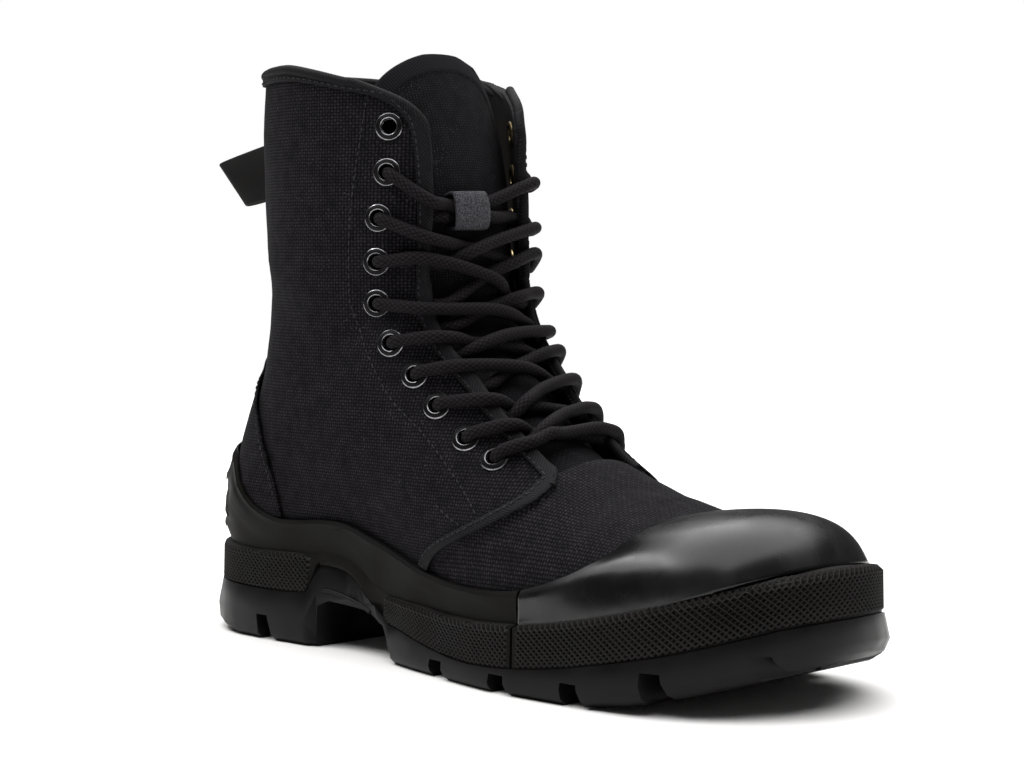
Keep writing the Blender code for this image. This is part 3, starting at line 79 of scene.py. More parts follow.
class Finish:
    """A material under construction: its node tree, its shader and the place on the model."""

    def __init__(self, name, colour, roughness, **sockets):
        self.material = bpy.data.materials.new(name)
        self.material.use_nodes = True
        self.tree = self.material.node_tree
        self.shader = self.tree.nodes["Principled BSDF"]
        self.feed(Base_Color=colour, Roughness=roughness, **sockets)
        self.spot = self.node("TexCoord").outputs["Object"]

    def put(self, socket, value):
        """Gives a socket a value, a hex colour, or a link from an output."""
        if isinstance(value, bpy.types.NodeSocket):
            self.tree.links.new(value, socket)
        else:
            socket.default_value = linear(value) if isinstance(value, str) else value

    def node(self, kind, inputs=None, **settings):
        """Adds a node with its settings and its inputs by number."""
        made = self.tree.nodes.new("ShaderNode" + kind)
        for key, value in settings.items():
            setattr(made, key, value)
        for index, value in (inputs or {}).items():
            self.put(made.inputs[index], value)
        return made

    def feed(self, **sockets):
        """Sets or links the shader's sockets, named with underscores for spaces."""
        for socket, value in sockets.items():
            self.put(self.shader.inputs[socket.replace("_", " ")], value)

    def sums(self, operation, *values):
        """One step of arithmetic on outputs or numbers."""
        return self.node("Math", dict(enumerate(values)), operation=operation).outputs[0]

    def blend(self, share, low, high):
        """Colour between two hex colours or outputs."""
        return self.node("Mix", {0: share, 6: low, 7: high}, data_type="RGBA").outputs[2]

    def measure(self, attribute):
        """A value that the mesh carries at its points."""
        return self.node("Attribute", attribute_name=attribute).outputs["Fac"]

    def grain(self, scale, detail):
        """A noise of so many patches to the metre."""
        return self.node("TexNoise", {0: self.spot, 2: scale, 3: detail})

    def spots(self, scale, low, high, detail=2.0):
        """A noise of so many patches to the metre, stretched between two limits."""
        patches = self.grain(scale, detail).outputs[0]
        return self.node("MapRange", {0: patches, 1: low, 2: high}).outputs[0]

    def ridges(self, measure, pitch):
        """Rounded ridges, one for each pitch of a measure."""
        return self.sums("ABSOLUTE", self.sums("SINE", self.sums("MULTIPLY", measure, math.pi / pitch)))

    def slanting_ribs(self, direction, pitch):
        """Ridges square to a direction on the model."""
        slant = self.node("VectorMath", {0: self.spot, 1: direction}, operation="DOT_PRODUCT")
        return self.ridges(slant.outputs["Value"], pitch)

    def relief(self, height, distance, strength=1.0):
        """Bump node of a height output. Known fault: input 2 is its filter width, so no relief shows."""
        return self.node("Bump", {0: strength, 1: distance, 2: height}).outputs[0]


def canvas_finish(name, thread_mm, low, high, lint):
    """Plain-woven cotton duck: small pillows of yarn, painted light on their crowns and dark in the gaps
    between them as painted highlight and shade, a dull sheen and specks of lint.
    """
    finish = Finish(name, high, 0.88, Specular_IOR_Level=0.1)
    thread = thread_mm * MM
    weave = finish.node("UVMap", uv_map="weave").outputs[0]
    wander = {0: finish.grain(620.0, 3.0).outputs[1], 1: (0.85 * thread,) * 3, 2: weave}
    cloth = finish.node("VectorMath", wander, operation="MULTIPLY_ADD").outputs[0]
    across, along, _ = finish.node("SeparateXYZ", {0: cloth}).outputs
    pillow = finish.sums("MULTIPLY", finish.ridges(across, thread), finish.ridges(along, thread))
    checks = finish.node("TexChecker", {0: cloth, 3: 1.0 / thread}).outputs[1]
    over = finish.sums("MULTIPLY_ADD", checks, 0.2, pillow)
    worn = finish.sums("MULTIPLY_ADD", finish.spots(240.0, 0.3, 0.72, 6.0), 0.7, 0.35)
    # Painted highlight and shade: the yarn's raised crowns go towards the light colour and the gaps towards
    # the dark one, times random worn patches
    shade = finish.sums("MULTIPLY", finish.sums("POWER", over, 1.5), worn)
    fibre = finish.node("TexVoronoi", {0: finish.spot, 2: 900.0}).outputs[0]
    sparse = finish.sums("GREATER_THAN", finish.spots(95.0, 0.0, 1.0, 4.0), 0.62)
    speck = finish.sums("MULTIPLY", finish.sums("LESS_THAN", fibre, 0.16), sparse)
    colour = finish.blend(finish.sums("MULTIPLY", speck, lint), finish.blend(shade, low, high), "#8b8784")
    finish.feed(Base_Color=colour, Roughness=finish.sums("MULTIPLY_ADD", over, -0.08, 0.94),
                Normal=finish.relief(over, 0.32 * thread, 0.75))
    return finish


def taped_finish(name, width_mm, rib_mm, low, high):
    """Canvas with a folded twill tape along an edge: slanting ribs end in a step where the tape does. The
    tape's ribs are painted light on their crowns and dark between them, as painted highlight and shade.
    """
    finish = canvas_finish(name, 1.1, "#060607", "#232226", 0.2)
    covered = finish.sums("LESS_THAN", finish.measure("tape"), width_mm)
    rib = finish.slanting_ribs((0.3, 0.9, 0.75), rib_mm * MM)
    cloth, bumps = (finish.shader.inputs[socket].links[0].from_socket for socket in ("Base Color", "Normal"))
    ribs = finish.relief(rib, 0.3 * rib_mm * MM, 0.7)
    # Painted highlight and shade on the tape: rib crowns light, gaps between ribs dark
    finish.feed(Base_Color=finish.blend(covered, cloth, finish.blend(rib, low, high)),
                Normal=finish.node("Mix", {0: covered, 4: bumps, 5: ribs}, data_type="VECTOR").outputs[1])
    return finish


def twill_finish(name, rib_mm, low, high, measure=None):
    """Woven twill tape: fine slanting ribs with a dull shine, over a measure in millimetres if it has one;
    the ribs are painted light on their crowns and dark between them, as painted highlight and shade.
    """
    finish = Finish(name, high, 0.75, Specular_IOR_Level=0.15)
    if measure:
        rib = finish.ridges(finish.measure(measure), rib_mm)
    else:
        rib = finish.slanting_ribs((0.75, -0.55, 0.8), rib_mm * MM)
    fuzz = finish.sums("MULTIPLY_ADD", finish.spots(900.0, 0.3, 0.7), 0.5, 0.5)
    # Painted highlight and shade: rib crowns light, the gaps between ribs dark, times random fuzz
    shade = finish.sums("MULTIPLY", finish.sums("POWER", rib, 2.0), fuzz)
    finish.feed(Base_Color=finish.blend(shade, low, high), Normal=finish.relief(rib, 0.5 * rib_mm * MM))
    return finish


def rubber_finish(name, colour, dusty, roughness, gloss, grain_mm, depth_mm, pits=None):
    """Vulcanised rubber from a mould: even black, a fine grain and a little dust; given a pit measure, the
    pits are painted near black with less reflection, as painted shade.
    """
    finish = Finish(name, colour, roughness, Specular_IOR_Level=gloss)
    dust = finish.spots(60.0, 0.42, 0.75, 5.0)
    shade = finish.blend(dust, colour, dusty)
    if pits:
        # Painted shade: colour goes to near black and reflection drops in the knurl's pits, where shade falls
        pit_shade = finish.sums("POWER", finish.measure(pits), 0.6)
        shade = finish.blend(pit_shade, shade, "#030303")
        finish.feed(Specular_IOR_Level=finish.sums("MULTIPLY_ADD", pit_shade, -gloss, gloss))
    grain = finish.grain(1.0 / (grain_mm * MM), 3.0).outputs[0]
    finish.feed(Base_Color=shade, Roughness=finish.sums("MULTIPLY_ADD", dust, 0.16, roughness),
                Normal=finish.relief(grain, depth_mm * MM, 0.6))
    return finish


def metal_finish(name, colour, dull, roughness):
    """Metal of an eyelet: a bright rim with dull patches of handling."""
    finish = Finish(name, colour, roughness, Metallic=1.0)
    patch = finish.spots(500.0, 0.35, 0.7)
    finish.feed(Base_Color=finish.blend(patch, colour, dull),
                Roughness=finish.sums("MULTIPLY_ADD", patch, 0.18, roughness))
    return finish


def braid_finish(name, along_mm, around_mm, low, high):
    """Braided cotton lace: slanting strands of two hands press up in turn; their crowns are painted light and
    the gaps between them dark, as painted highlight and shade.
    """
    finish = Finish(name, high, 0.8, Specular_IOR_Level=0.12)
    split = finish.node("SeparateXYZ", {0: finish.node("UVMap", uv_map="weave").outputs[0]})
    along = finish.sums("MULTIPLY", split.outputs[0], 1.0 / (along_mm * MM))
    around = finish.sums("MULTIPLY", split.outputs[1], 1.0 / (around_mm * MM))
    hands = [finish.ridges(finish.sums(kind, along, around), 1.0) for kind in ("ADD", "SUBTRACT")]
    strand = finish.sums("POWER", finish.sums("MULTIPLY", *hands), 0.8)
    fibre = finish.sums("MULTIPLY_ADD", finish.spots(1400.0, 0.3, 0.75, 3.0), 0.5, 0.6)
    # Painted highlight and shade: raised strands light, gaps dark, times random fibre tone
    shade = finish.sums("MULTIPLY", strand, fibre)
    finish.feed(Base_Color=finish.blend(shade, low, high), Normal=finish.relief(strand, 0.55 * MM))
    return finish


def cord_finish(name, low, high, grain_mm):
    """Thread or webbing: each strand dull, with darker gaps and loose fibres."""
    finish = Finish(name, high, 0.8, Specular_IOR_Level=0.3)
    fibre = finish.spots(1.0 / (grain_mm * MM), 0.36, 0.64, 3.0)
    finish.feed(Base_Color=finish.blend(fibre, low, high), Normal=finish.relief(fibre, 0.12 * MM, 0.5))
    return finish


TONGUE_TAPE_MM = 6.8
CANVAS = canvas_finish("cotton_duck_plain_woven", 1.15, "#020202", "#2b282d", 0.22)
LINING = twill_finish("cotton_drill_lining", 0.9, "#0a0806", "#1f1914")
FACING = twill_finish("cotton_twill_facing", 1.25, "#010101", "#1f1e21")
TAPE = twill_finish("cotton_twill_tape", 1.25, "#010101", "#1e1d21", "rib")
TONGUE_CLOTH = taped_finish("cotton_duck_taped", TONGUE_TAPE_MM, 1.25, "#010101", "#1e1d21")
FOXING_RUBBER = rubber_finish("foxing_rubber_calendered", "#0b0a09", "#141211", 0.55, 0.08, 0.7, 0.35)
# The knurl's rubber, with painted shade in its pits
KNURL_RUBBER = rubber_finish("band_rubber_knurled", "#191716", "#24201f", 0.5, 0.2, 0.5, 0.03, "pit")
SOLE_RUBBER = rubber_finish("outsole_rubber_moulded", "#080708", "#0f0d0e", 0.36, 0.14, 0.8, 0.04)
CAP_RUBBER = rubber_finish("toe_cap_rubber_polished", "#080708", "#0f0d0e", 0.24, 0.36, 1.2, 0.01)
NICKEL = metal_finish("dark_nickel_rolled", "#8d8c8f", "#68676b", 0.16)
# Painted shade: the rolled ring's top is coloured near black, so only its inner lip and outer edge show
# bright nickel
FLANGE_SHADE_PAINT = rubber_finish("painted_flange_shade", "#040404", "#080808", 0.45, 0.12, 0.3, 0.01)
CORD = braid_finish("cotton_cord_braided", 2.3, 1.8, "#010101", "#242023")
WEBBING = cord_finish("grey_webbing_woven", "#0c0c0e", "#4a4a50", 0.55)
THREAD = cord_finish("polyester_thread_spun", "#0e0d0f", "#302f33", 0.7)
SATIN = twill_finish("polyester_tape_satin", 0.5, "#040303", "#0b0807")
BRASS = metal_finish("eyelet_brass_clenched", "#9a8a66", "#6d604a", 0.3)
# Painted shadow: near black and without reflection, on the disc that stands for the eyelet's hole
HOLE_SHADOW_PAINT = rubber_finish("painted_hole_shadow", "#010101", "#010101", 0.9, 0.0, 1.0, 0.01)


# Shared modelling steps

PATH_STEPS = 12
CORD_STEP_MM, CORD_SIDES = 0.6, 16
SIDE_START_MM = 120.0


def keep_piece(name, shape, finishes, nodes=()):
    """Turns a bmesh into a finished piece that rides the boot and may stand for solids."""
    mesh = bpy.data.meshes.new(name)
    shape.to_mesh(mesh)
    shape.free()
    for finish in finishes:
        mesh.materials.append(finish.material)
    mesh.shade_smooth()
    piece = bpy.data.objects.new(name, mesh)
    bpy.context.scene.collection.objects.link(piece)
    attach(piece, "root")
    if nodes:
        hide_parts(*nodes)
    return piece


def solid_copy(node):
    """Merged copy of a solid, its triangles joined to quads where they lie nearly flat."""
    shape = bmesh.new()
    shape.from_mesh(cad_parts[node].data)
    bmesh.ops.remove_doubles(shape, verts=shape.verts, dist=0.001 * MM)
    bmesh.ops.join_triangles(shape, faces=shape.faces, angle_face_threshold=math.radians(35),
                             angle_shape_threshold=math.radians(65))
    return shape


def applied(shape, kind, **settings):
    """The shape with a modifier's result in place of its own."""
    mesh = bpy.data.meshes.new("applying")
    shape.to_mesh(mesh)
    guide = bpy.data.objects.new("applying", mesh)
    bpy.context.scene.collection.objects.link(guide)
    step = guide.modifiers.new("step", kind)
    for key, value in settings.items():
        setattr(step, key, value)
    done = bpy.data.meshes.new_from_object(guide.evaluated_get(bpy.context.evaluated_depsgraph_get()))
    shape.clear()
    shape.from_mesh(done)
    bpy.data.objects.remove(guide)
    bpy.data.meshes.remove(mesh)
    bpy.data.meshes.remove(done)
    shape.normal_update()
    return shape


def rounded(shape, levels, crease_from, crease=0.8):
    """The shape smoothed by subdivision, with its sharp edges held by creases."""
    held = shape.edges.layers.float.new("crease_edge")
    for edge in shape.edges:
        if edge.is_manifold and edge.calc_face_angle(0.0) > math.radians(crease_from):
            edge[held] = crease
    return applied(shape, "SUBSURF", levels=levels, render_levels=levels)


def eased(shape, width_mm):
    """The shape with its sharp edges eased to small rounds."""
    return applied(shape, "BEVEL", limit_method="ANGLE", angle_limit=math.radians(35), width=width_mm * MM,
                   segments=2)


def soften(shape, verts, rounds):
    """Smooths some of a shape's points, so many times."""
    for _ in range(rounds):
        bmesh.ops.smooth_vert(shape, verts=verts, factor=0.5, use_axis_x=True, use_axis_y=True,
                              use_axis_z=True)


def displace(shape, move):
    """Moves each point by move(point), all worked out before the first one moves."""
    moves = [move(vert) for vert in shape.verts]
    for vert, step in zip(shape.verts, moves):
        vert.co += step
    shape.normal_update()


def sharpest(vert):
    """The sharpest angle between faces at a point."""
    return max(edge.calc_face_angle(0.0) for edge in vert.link_edges)


def bent_grid(columns, rows, at, span=(1.0, 1.0), raised=None):
    """A grid whose point at shares u, v goes to at(u, v), with shares times the span as cloth coordinates.
    Where raised(u, v) is given, each cell is split between its raised corners, and the other points are
    marked as pits, where the knurl's material paints shade."""
    shape = bmesh.new()
    bmesh.ops.create_grid(shape, x_segments=columns, y_segments=rows, size=0.5)
    layer = shape.loops.layers.uv.new("weave")
    shares = [(vert.co.x + 0.5, vert.co.y + 0.5) for vert in shape.verts]
    shape.verts.index_update()
    for face in shape.faces:
        for loop in face.loops:
            u, v = shares[loop.vert.index]
            loop[layer].uv = (u * span[0], v * span[1])
    if raised:
        # The pit measure is 1 at sunk points, where the knurl's material paints shade
        pit = shape.verts.layers.float.new("pit")
        for vert, (u, v) in zip(shape.verts, shares):
            vert.tag = raised(u, v)
            vert[pit] = 0.0 if vert.tag else 1.0
        for face in list(shape.faces):
            bmesh.utils.face_split(face, *[vert for vert in face.verts if vert.tag])
    shape.verts.index_update()
    for vert, (u, v) in zip(shape.verts, shares):
        vert.co = at(u, v)
    return shape


def gather(shapes):
    """Several bmeshes as one."""
    whole = bmesh.new()
    for shape in shapes:
        mesh = bpy.data.meshes.new("gathering")
        shape.to_mesh(mesh)
        shape.free()
        whole.from_mesh(mesh)
        bpy.data.meshes.remove(mesh)
    return whole


def resample(points, step):
    """Points an even step apart along a path."""
    points = np.array([tuple(p) for p in points], float)
    run = np.concatenate([[0.0], np.cumsum(np.linalg.norm(np.diff(points, axis=0), axis=1))])
    count = max(int(run[-1] / step), 1)
    at = np.linspace(0.0, run[-1], count + 1)
    return [Vector([float(np.interp(t, run, points[:, k])) for k in range(3)]) for t in at]


def smooth_path(points, step):
    """A rounded path through points, sampled an even step apart."""
    points = [Vector(p) for p in points]
    ends = [points[0] * 2 - points[1]] + points + [points[-1] * 2 - points[-2]]
    path = []
    for k in range(1, len(ends) - 2):
        a, b, c, d = ends[k - 1:k + 3]
        for share in np.linspace(0.0, 1.0, PATH_STEPS, endpoint=False):
            t = float(share)
            bend = 2 * b + (c - a) * t + (2 * a - 5 * b + 4 * c - d) * t ** 2
            path.append(0.5 * (bend + (3 * b - a - 3 * c + d) * t ** 3))
    return resample(path + [points[-1]], step)


def cord(way, round_mm):
    """A round cord along a way, with its own length and girth as cloth coordinates."""
    path = smooth_path(way, CORD_STEP_MM * MM)
    count = len(path) - 1
    ahead = [(path[min(k + 1, count)] - path[max(k - 1, 0)]).normalized() for k in range(count + 1)]
    sides = [ahead[0].orthogonal().normalized()]
    for direction in ahead[1:]:
        sides.append((sides[-1] - direction * sides[-1].dot(direction)).normalized())

    def at(u, v):
        k = min(int(round(u * count)), count)
        turn = 2 * math.pi * v
        out = sides[k] * math.cos(turn) + ahead[k].cross(sides[k]) * math.sin(turn)
        return path[k] + out * round_mm * MM

    shape = bent_grid(count, CORD_SIDES, at, (count * CORD_STEP_MM * MM, 2 * math.pi * round_mm * MM))
    bmesh.ops.remove_doubles(shape, verts=shape.verts, dist=0.002 * MM)
    bmesh.ops.holes_fill(shape, edges=shape.edges, sides=0)
    bmesh.ops.recalc_face_normals(shape, faces=shape.faces)
    return shape


def near_tree(points):
    """A tree that finds the points near a place."""
    tree = KDTree(len(points))
    for number, point in enumerate(points):
        tree.insert(point, number)
    tree.balance()
    return tree


def seat(tree, point, normal, reach_mm):
    """Where a line against the normal meets a surface, and that surface's normal there."""
    hit, facing, _, _ = tree.ray_cast(point + normal * reach_mm * MM, -normal, 2 * reach_mm * MM)
    if hit is None:
        hit, facing, _, _ = tree.find_nearest(point)
    return hit, facing if facing.dot(normal) > 0 else -facing


def side_line(tree, places_mm, side):
    """A line of (x, z) places in side view, laid on a surface from that side."""
    inward = Vector((0.0, -side, 0.0))
    hits = [tree.ray_cast(place(x, side * SIDE_START_MM, z), inward, REACH)[0] for x, z in places_mm]
    return [hit for hit in hits if hit is not None]


# Upper

QUARTER_FRONT_MM = table("z x", (40, 152), (45, 165), (53, 183), (59, 191), (64, 194), (69, 188))
QUARTER_Z, QUARTER_X = zip(*QUARTER_FRONT_MM)
SHAFT_MIDDLE_MM = 72.0
SHAFT_ROUND_MM = 46.0
# The shaft is what lies above and behind these; the rest of the upper turns about the foot's axis
SHAFT_FROM_MM, SHAFT_FRONT_MM = 75, 150
FOOT_AXIS_MM, FOOT_BACK_MM, AHEAD_MOST_MM = 38.0, 60, 60
LEVEL_FACE = 0.98
VAMP_AXIS_MM, VAMP_ROUND_MM = 22.0, 40.0

# Creases in side view: middle, slant above the horizon, half length, half width, depth (a trough is negative)
CREASES_MM = table(
    "x z slant length width depth side",
    (62, 128, -18, 34, 7.0, -1.0, LATERAL),
    (70, 139, -14, 30, 6.0, 0.7, LATERAL),
    (84, 112, -30, 30, 8.0, -0.9, LATERAL),
    (58, 112, 12, 24, 7.0, 0.6, LATERAL),
    (66, 178, 6, 26, 9.0, -0.7, LATERAL),
    (48, 152, 80, 30, 8.0, -0.5, LATERAL),
    (125, 72, 40, 22, 7.0, -0.6, LATERAL),
    (142, 62, 38, 18, 6.0, 0.5, LATERAL),
    (212, 66, 86, 20, 6.0, -0.7, LATERAL),
    (222, 64, 80, 18, 5.0, 0.5, LATERAL),
    (62, 130, -10, 34, 8.0, -1.0, MEDIAL),
    (78, 114, -26, 30, 8.0, -0.8, MEDIAL),
    (60, 176, 4, 26, 9.0, -0.7, MEDIAL),
    (128, 70, 42, 22, 7.0, -0.6, MEDIAL),
    (214, 64, 84, 20, 6.0, -0.6, MEDIAL),
)
RIPPLE_MM, RIPPLE_WAVE_MM = 0.32, 26.0


def is_vamp(spot):
    """Whether a place from the heel lies ahead of the quarters."""
    return spot.x > np.interp(spot.z, QUARTER_Z, QUARTER_X)


def is_inside(spot, normal):
    """Whether a face of the upper looks into the boot."""
    if spot.z > SHAFT_FROM_MM and spot.x < SHAFT_FRONT_MM:
        away = Vector((min(spot.x - SHAFT_MIDDLE_MM, AHEAD_MOST_MM), spot.y, 0))
    else:
        away = Vector((min(spot.x - FOOT_BACK_MM, 0), spot.y, spot.z - FOOT_AXIS_MM))
    return normal.dot(away) < 0 and abs(normal.z) < LEVEL_FACE


def weave_place(spot, vamp):
    """Distances along and across the cloth at a place from the heel."""
    if vamp:
        turn = math.atan2(spot.y, max(spot.z - VAMP_AXIS_MM, 1.0))
        return spot.x * MM, turn * VAMP_ROUND_MM * MM
    if spot.x > SHAFT_MIDDLE_MM:
        return (spot.x - SHAFT_MIDDLE_MM + SHAFT_ROUND_MM * math.pi / 2) * MM, spot.z * MM
    turn = math.atan2(abs(spot.y), SHAFT_MIDDLE_MM - spot.x)
    return SHAFT_ROUND_MM * turn * MM, spot.z * MM


def lay_weave(shape):
    """Gives cloth its own coordinates."""
    layer = shape.loops.layers.uv.new("weave")
    for face in shape.faces:
        vamp = is_vamp(from_heel(face.calc_center_median()))
        for loop in face.loops:
            loop[layer].uv = weave_place(from_heel(loop.vert.co), vamp)


def crease_depth(spot):
    """How far the worn cloth stands out or in at a place from the heel, in millimetres."""
    total = RIPPLE_MM * noise.noise(spot / RIPPLE_WAVE_MM)
    for row in CREASES_MM:
        if spot.y * row.side > 0:
            slant = math.radians(row.slant)
            dx, dz = spot.x - row.x, spot.z - row.z
            along = (dx * math.cos(slant) + dz * math.sin(slant)) / row.length
            across = (dz * math.cos(slant) - dx * math.sin(slant)) / row.width
            total += row.depth * math.exp(-along ** 2 - across ** 2)
    return total


def make_upper():
    """The canvas upper, rounded and creased, with its lining inside; returns its surface."""
    def crease(vert):
        spot = from_heel(vert.co)
        inward = -1.0 if is_inside(spot, vert.normal) else 1.0
        return vert.normal * inward * crease_depth(spot) * MM

    shape = rounded(solid_copy("upper"), 2, 50)
    displace(shape, crease)
    lay_weave(shape)
    for face in shape.faces:
        face.material_index = 1 if is_inside(from_heel(face.calc_center_median()), face.normal) else 0
    skin = BVHTree.FromBMesh(shape)
    keep_piece("canvas_upper", shape, [CANVAS, LINING, FACING], ["upper"])
    return skin


upper_skin = make_upper()


# Trim that lies on the upper

# A rim's edge is sharper than this in degrees; its outer face looks off the surface and its wall along it
RIM_ANGLE, OUTER_FACING, WALL_FACING = 50, 0.7, 0.6
# A rim is free where the surface lies further than this from a place so far beside it
BESIDE_MM, FREE_MM = 2.0, 1.9
SHORTEST_CHAIN = 3
LIE_MM = 0.1
STITCH_LONG_MM, STITCH_PITCH_MM, STITCH_WIDE_MM, STITCH_HIGH_MM, STITCH_RAISE_MM = 2.1, 2.9, 0.62, 0.5, 0.12
STITCH_LINE_STEP_MM = 2.5
TAPE_SEAM_MM, PATCH_SEAM_MM = 1.1, 1.6
UPRIGHT = 0.6
RIB_STEP_MM = 0.4
FOLD_ROUND_MM, FOLD_INSET_MM = 1.8, 1.1
FACING_WIDE_MM, FACING_STEP_MM = 8.5, 2
SEAM_SOFT_MM, SEAM_SMOOTHING = 9.0, 8
# Rows of stitches in side view: the stay behind the eyelets, and the short second row at its foot
STITCH_ROWS_MM = [
    [(110, 204), (108, 187), (105.6, 166), (104.4, 144), (105.4, 126), (115, 108), (125.7, 94.5), (139, 84.5),
     (151.7, 74.7), (166.8, 61.9), (172, 57)],
    [(152, 59.5), (156.7, 56.6), (163, 54), (169, 51.7)],
]


def lie_on(shape, tree):
    """Moves a sheet's points so that none lies lower than a little above a surface."""
    for vert in shape.verts:
        hit, facing, _, _ = tree.find_nearest(vert.co)
        above = (vert.co - hit).dot(facing)
        vert.co = hit + facing * max(above, LIE_MM * MM)


def rim_lines(node, tree, inset_mm, free=False, sink_mm=0.0):
    """Chains along the outer rim of a solid sheet, set in from it and sunk.
    They follow the rim where the surface runs on beside it, or else where it is free."""
    shape = solid_copy(node)
    shape.normal_update()
    shape.verts.index_update()
    links = {}
    for edge in shape.edges:
        if len(edge.link_faces) != 2 or edge.calc_face_angle(0.0) < math.radians(RIM_ANGLE):
            continue
        middle = (edge.verts[0].co + edge.verts[1].co) / 2
        facing = tree.find_nearest(middle)[1]
        outer, wall = sorted(edge.link_faces, key=lambda face: -face.normal.dot(facing))
        if outer.normal.dot(facing) < OUTER_FACING or abs(wall.normal.dot(facing)) > WALL_FACING:
            continue
        if (tree.find_nearest(middle + wall.normal * BESIDE_MM * MM)[3] > FREE_MM * MM) != free:
            continue
        first, second = edge.verts
        for vert, other in ((first, second), (second, first)):
            shift = (-wall.normal * inset_mm - outer.normal * sink_mm) * MM
            links.setdefault(vert.index, {})[other.index] = shift
    shape.verts.ensure_lookup_table()
    chains, seen = [], set()
    for start in [v for v in links if len(links[v]) == 1] + list(links):
        if start in seen:
            continue
        chain, here = [], start
        while here is not None:
            seen.add(here)
            shift = sum(links[here].values(), Vector()) / len(links[here])
            chain.append(shape.verts[here].co + shift)
            here = next((n for n in links[here] if n not in seen), None)
        if len(chain) > SHORTEST_CHAIN:
            chains.append(chain)
    return chains


def sew(shape, path, tree):
    """Adds a row of stitches along a path on a surface."""
    spots = resample(path, STITCH_PITCH_MM * MM)
    size = Matrix.Diagonal((*(Vector((STITCH_LONG_MM, STITCH_WIDE_MM, STITCH_HIGH_MM)) / 2 * MM), 1.0))
    for before, after in zip(spots, spots[1:]):
        hit, facing, _, _ = tree.find_nearest((before + after) / 2)
        along = after - before
        along = (along - facing * along.dot(facing)).normalized()
        turn = Matrix((along, facing.cross(along), facing)).transposed().to_4x4()
        spot = Matrix.Translation(hit + facing * STITCH_RAISE_MM * MM)
        bmesh.ops.create_uvsphere(shape, u_segments=6, v_segments=4, radius=1.0, matrix=spot @ turn @ size)


def measure_ribs(shape, chains):
    """Gives tape a measure in millimetres that runs slanting across it: along its edge plus away from it."""
    stops = [(run * RIB_STEP_MM, spot) for chain in chains
             for run, spot in enumerate(resample(chain, RIB_STEP_MM * MM))]
    near = near_tree([spot for _, spot in stops])
    layer = shape.verts.layers.float.new("rib")
    for vert in shape.verts:
        _, number, gap = near.find(vert.co)
        vert[layer] = stops[number][0] + gap / MM


def face_opening(rims):
    """Gives the upper's inside a twill facing along its open rims."""
    near = near_tree([spot for rim in rims for spot in resample(rim, FACING_STEP_MM * MM)])
    for face in bpy.data.objects["canvas_upper"].data.polygons:
        if face.material_index == 1 and near.find(face.center)[2] < FACING_WIDE_MM * MM:
            face.material_index = 2


def make_trim():
    """Edge tape, heel patch and every row of stitches."""
    thread = bmesh.new()
    tape = rounded(solid_copy("edge_binding"), 2, 60)
    lie_on(tape, upper_skin)
    tape.normal_update()
    tape_skin = BVHTree.FromBMesh(tape)
    chains = rim_lines("edge_binding", upper_skin, TAPE_SEAM_MM)
    for chain in chains:
        sew(thread, chain, tape_skin)
    rims = rim_lines("edge_binding", upper_skin, FOLD_INSET_MM, True, FOLD_ROUND_MM)
    tape = gather([tape] + [cord(chain, FOLD_ROUND_MM) for chain in rims])
    face_opening(rims)
    measure_ribs(tape, chains)
    keep_piece("edge_tape", tape, [TAPE], ["edge_binding"])
    patch = rounded(solid_copy("heel_counter"), 1, 50)
    lie_on(patch, upper_skin)
    seam = [vert for vert in patch.verts if abs(from_heel(vert.co).y) < SEAM_SOFT_MM]
    soften(patch, seam, SEAM_SMOOTHING)
    patch.normal_update()
    lay_weave(patch)
    patch_skin = BVHTree.FromBMesh(patch)
    for chain in rim_lines("heel_counter", upper_skin, PATCH_SEAM_MM):
        upright = [b for a, b in zip(chain, chain[1:]) if abs(b.z - a.z) > UPRIGHT * (b - a).length]
        if len(upright) > 2:
            sew(thread, upright, patch_skin)
    keep_piece("heel_patch", patch, [CANVAS], ["heel_counter"])
    for side in (LATERAL, MEDIAL):
        for row in STITCH_ROWS_MM:
            line = smooth_path([Vector((x, 0.0, z)) for x, z in row], STITCH_LINE_STEP_MM)
            path = side_line(upper_skin, [(spot.x, spot.z) for spot in line], side)
            if len(path) > 2:
                sew(thread, path, upper_skin)
    keep_piece("sewing_thread", thread, [THREAD])


make_trim()


# Tongue

# The tape's rim lies so near the tongue's top and is sharper than this in degrees
TONGUE_RIM_MM, TONGUE_RIM_ANGLE = 45, 25
TAPE_RAISE_MM = 0.55
# How the cloth's length counts up and back along the tongue
TONGUE_UP, TONGUE_BACK = 1.1, 0.45


def make_tongue():
    """The tongue, with tape folded over its round top; returns its surface."""
    shape = rounded(solid_copy("tongue"), 3, 60)
    low = max(vert.co.z for vert in shape.verts) - TONGUE_RIM_MM * MM
    near = near_tree([vert.co.copy() for vert in shape.verts
                      if vert.co.z > low and sharpest(vert) > math.radians(TONGUE_RIM_ANGLE)])
    cover = shape.verts.layers.float.new("tape")
    for vert in shape.verts:
        vert[cover] = near.find(vert.co)[2] / MM
    displace(shape, lambda vert: vert.normal * (TAPE_RAISE_MM * MM if vert[cover] < TONGUE_TAPE_MM else 0.0))
    layer = shape.loops.layers.uv.new("weave")
    for face in shape.faces:
        for loop in face.loops:
            spot = loop.vert.co
            loop[layer].uv = (spot.y, TONGUE_UP * spot.z - TONGUE_BACK * spot.x)
    skin = BVHTree.FromBMesh(shape)
    keep_piece("canvas_tongue", shape, [TONGUE_CLOTH], ["tongue"])
    return skin


tongue_skin = make_tongue()


# Eyelets

EYELETS_A_SIDE = 10
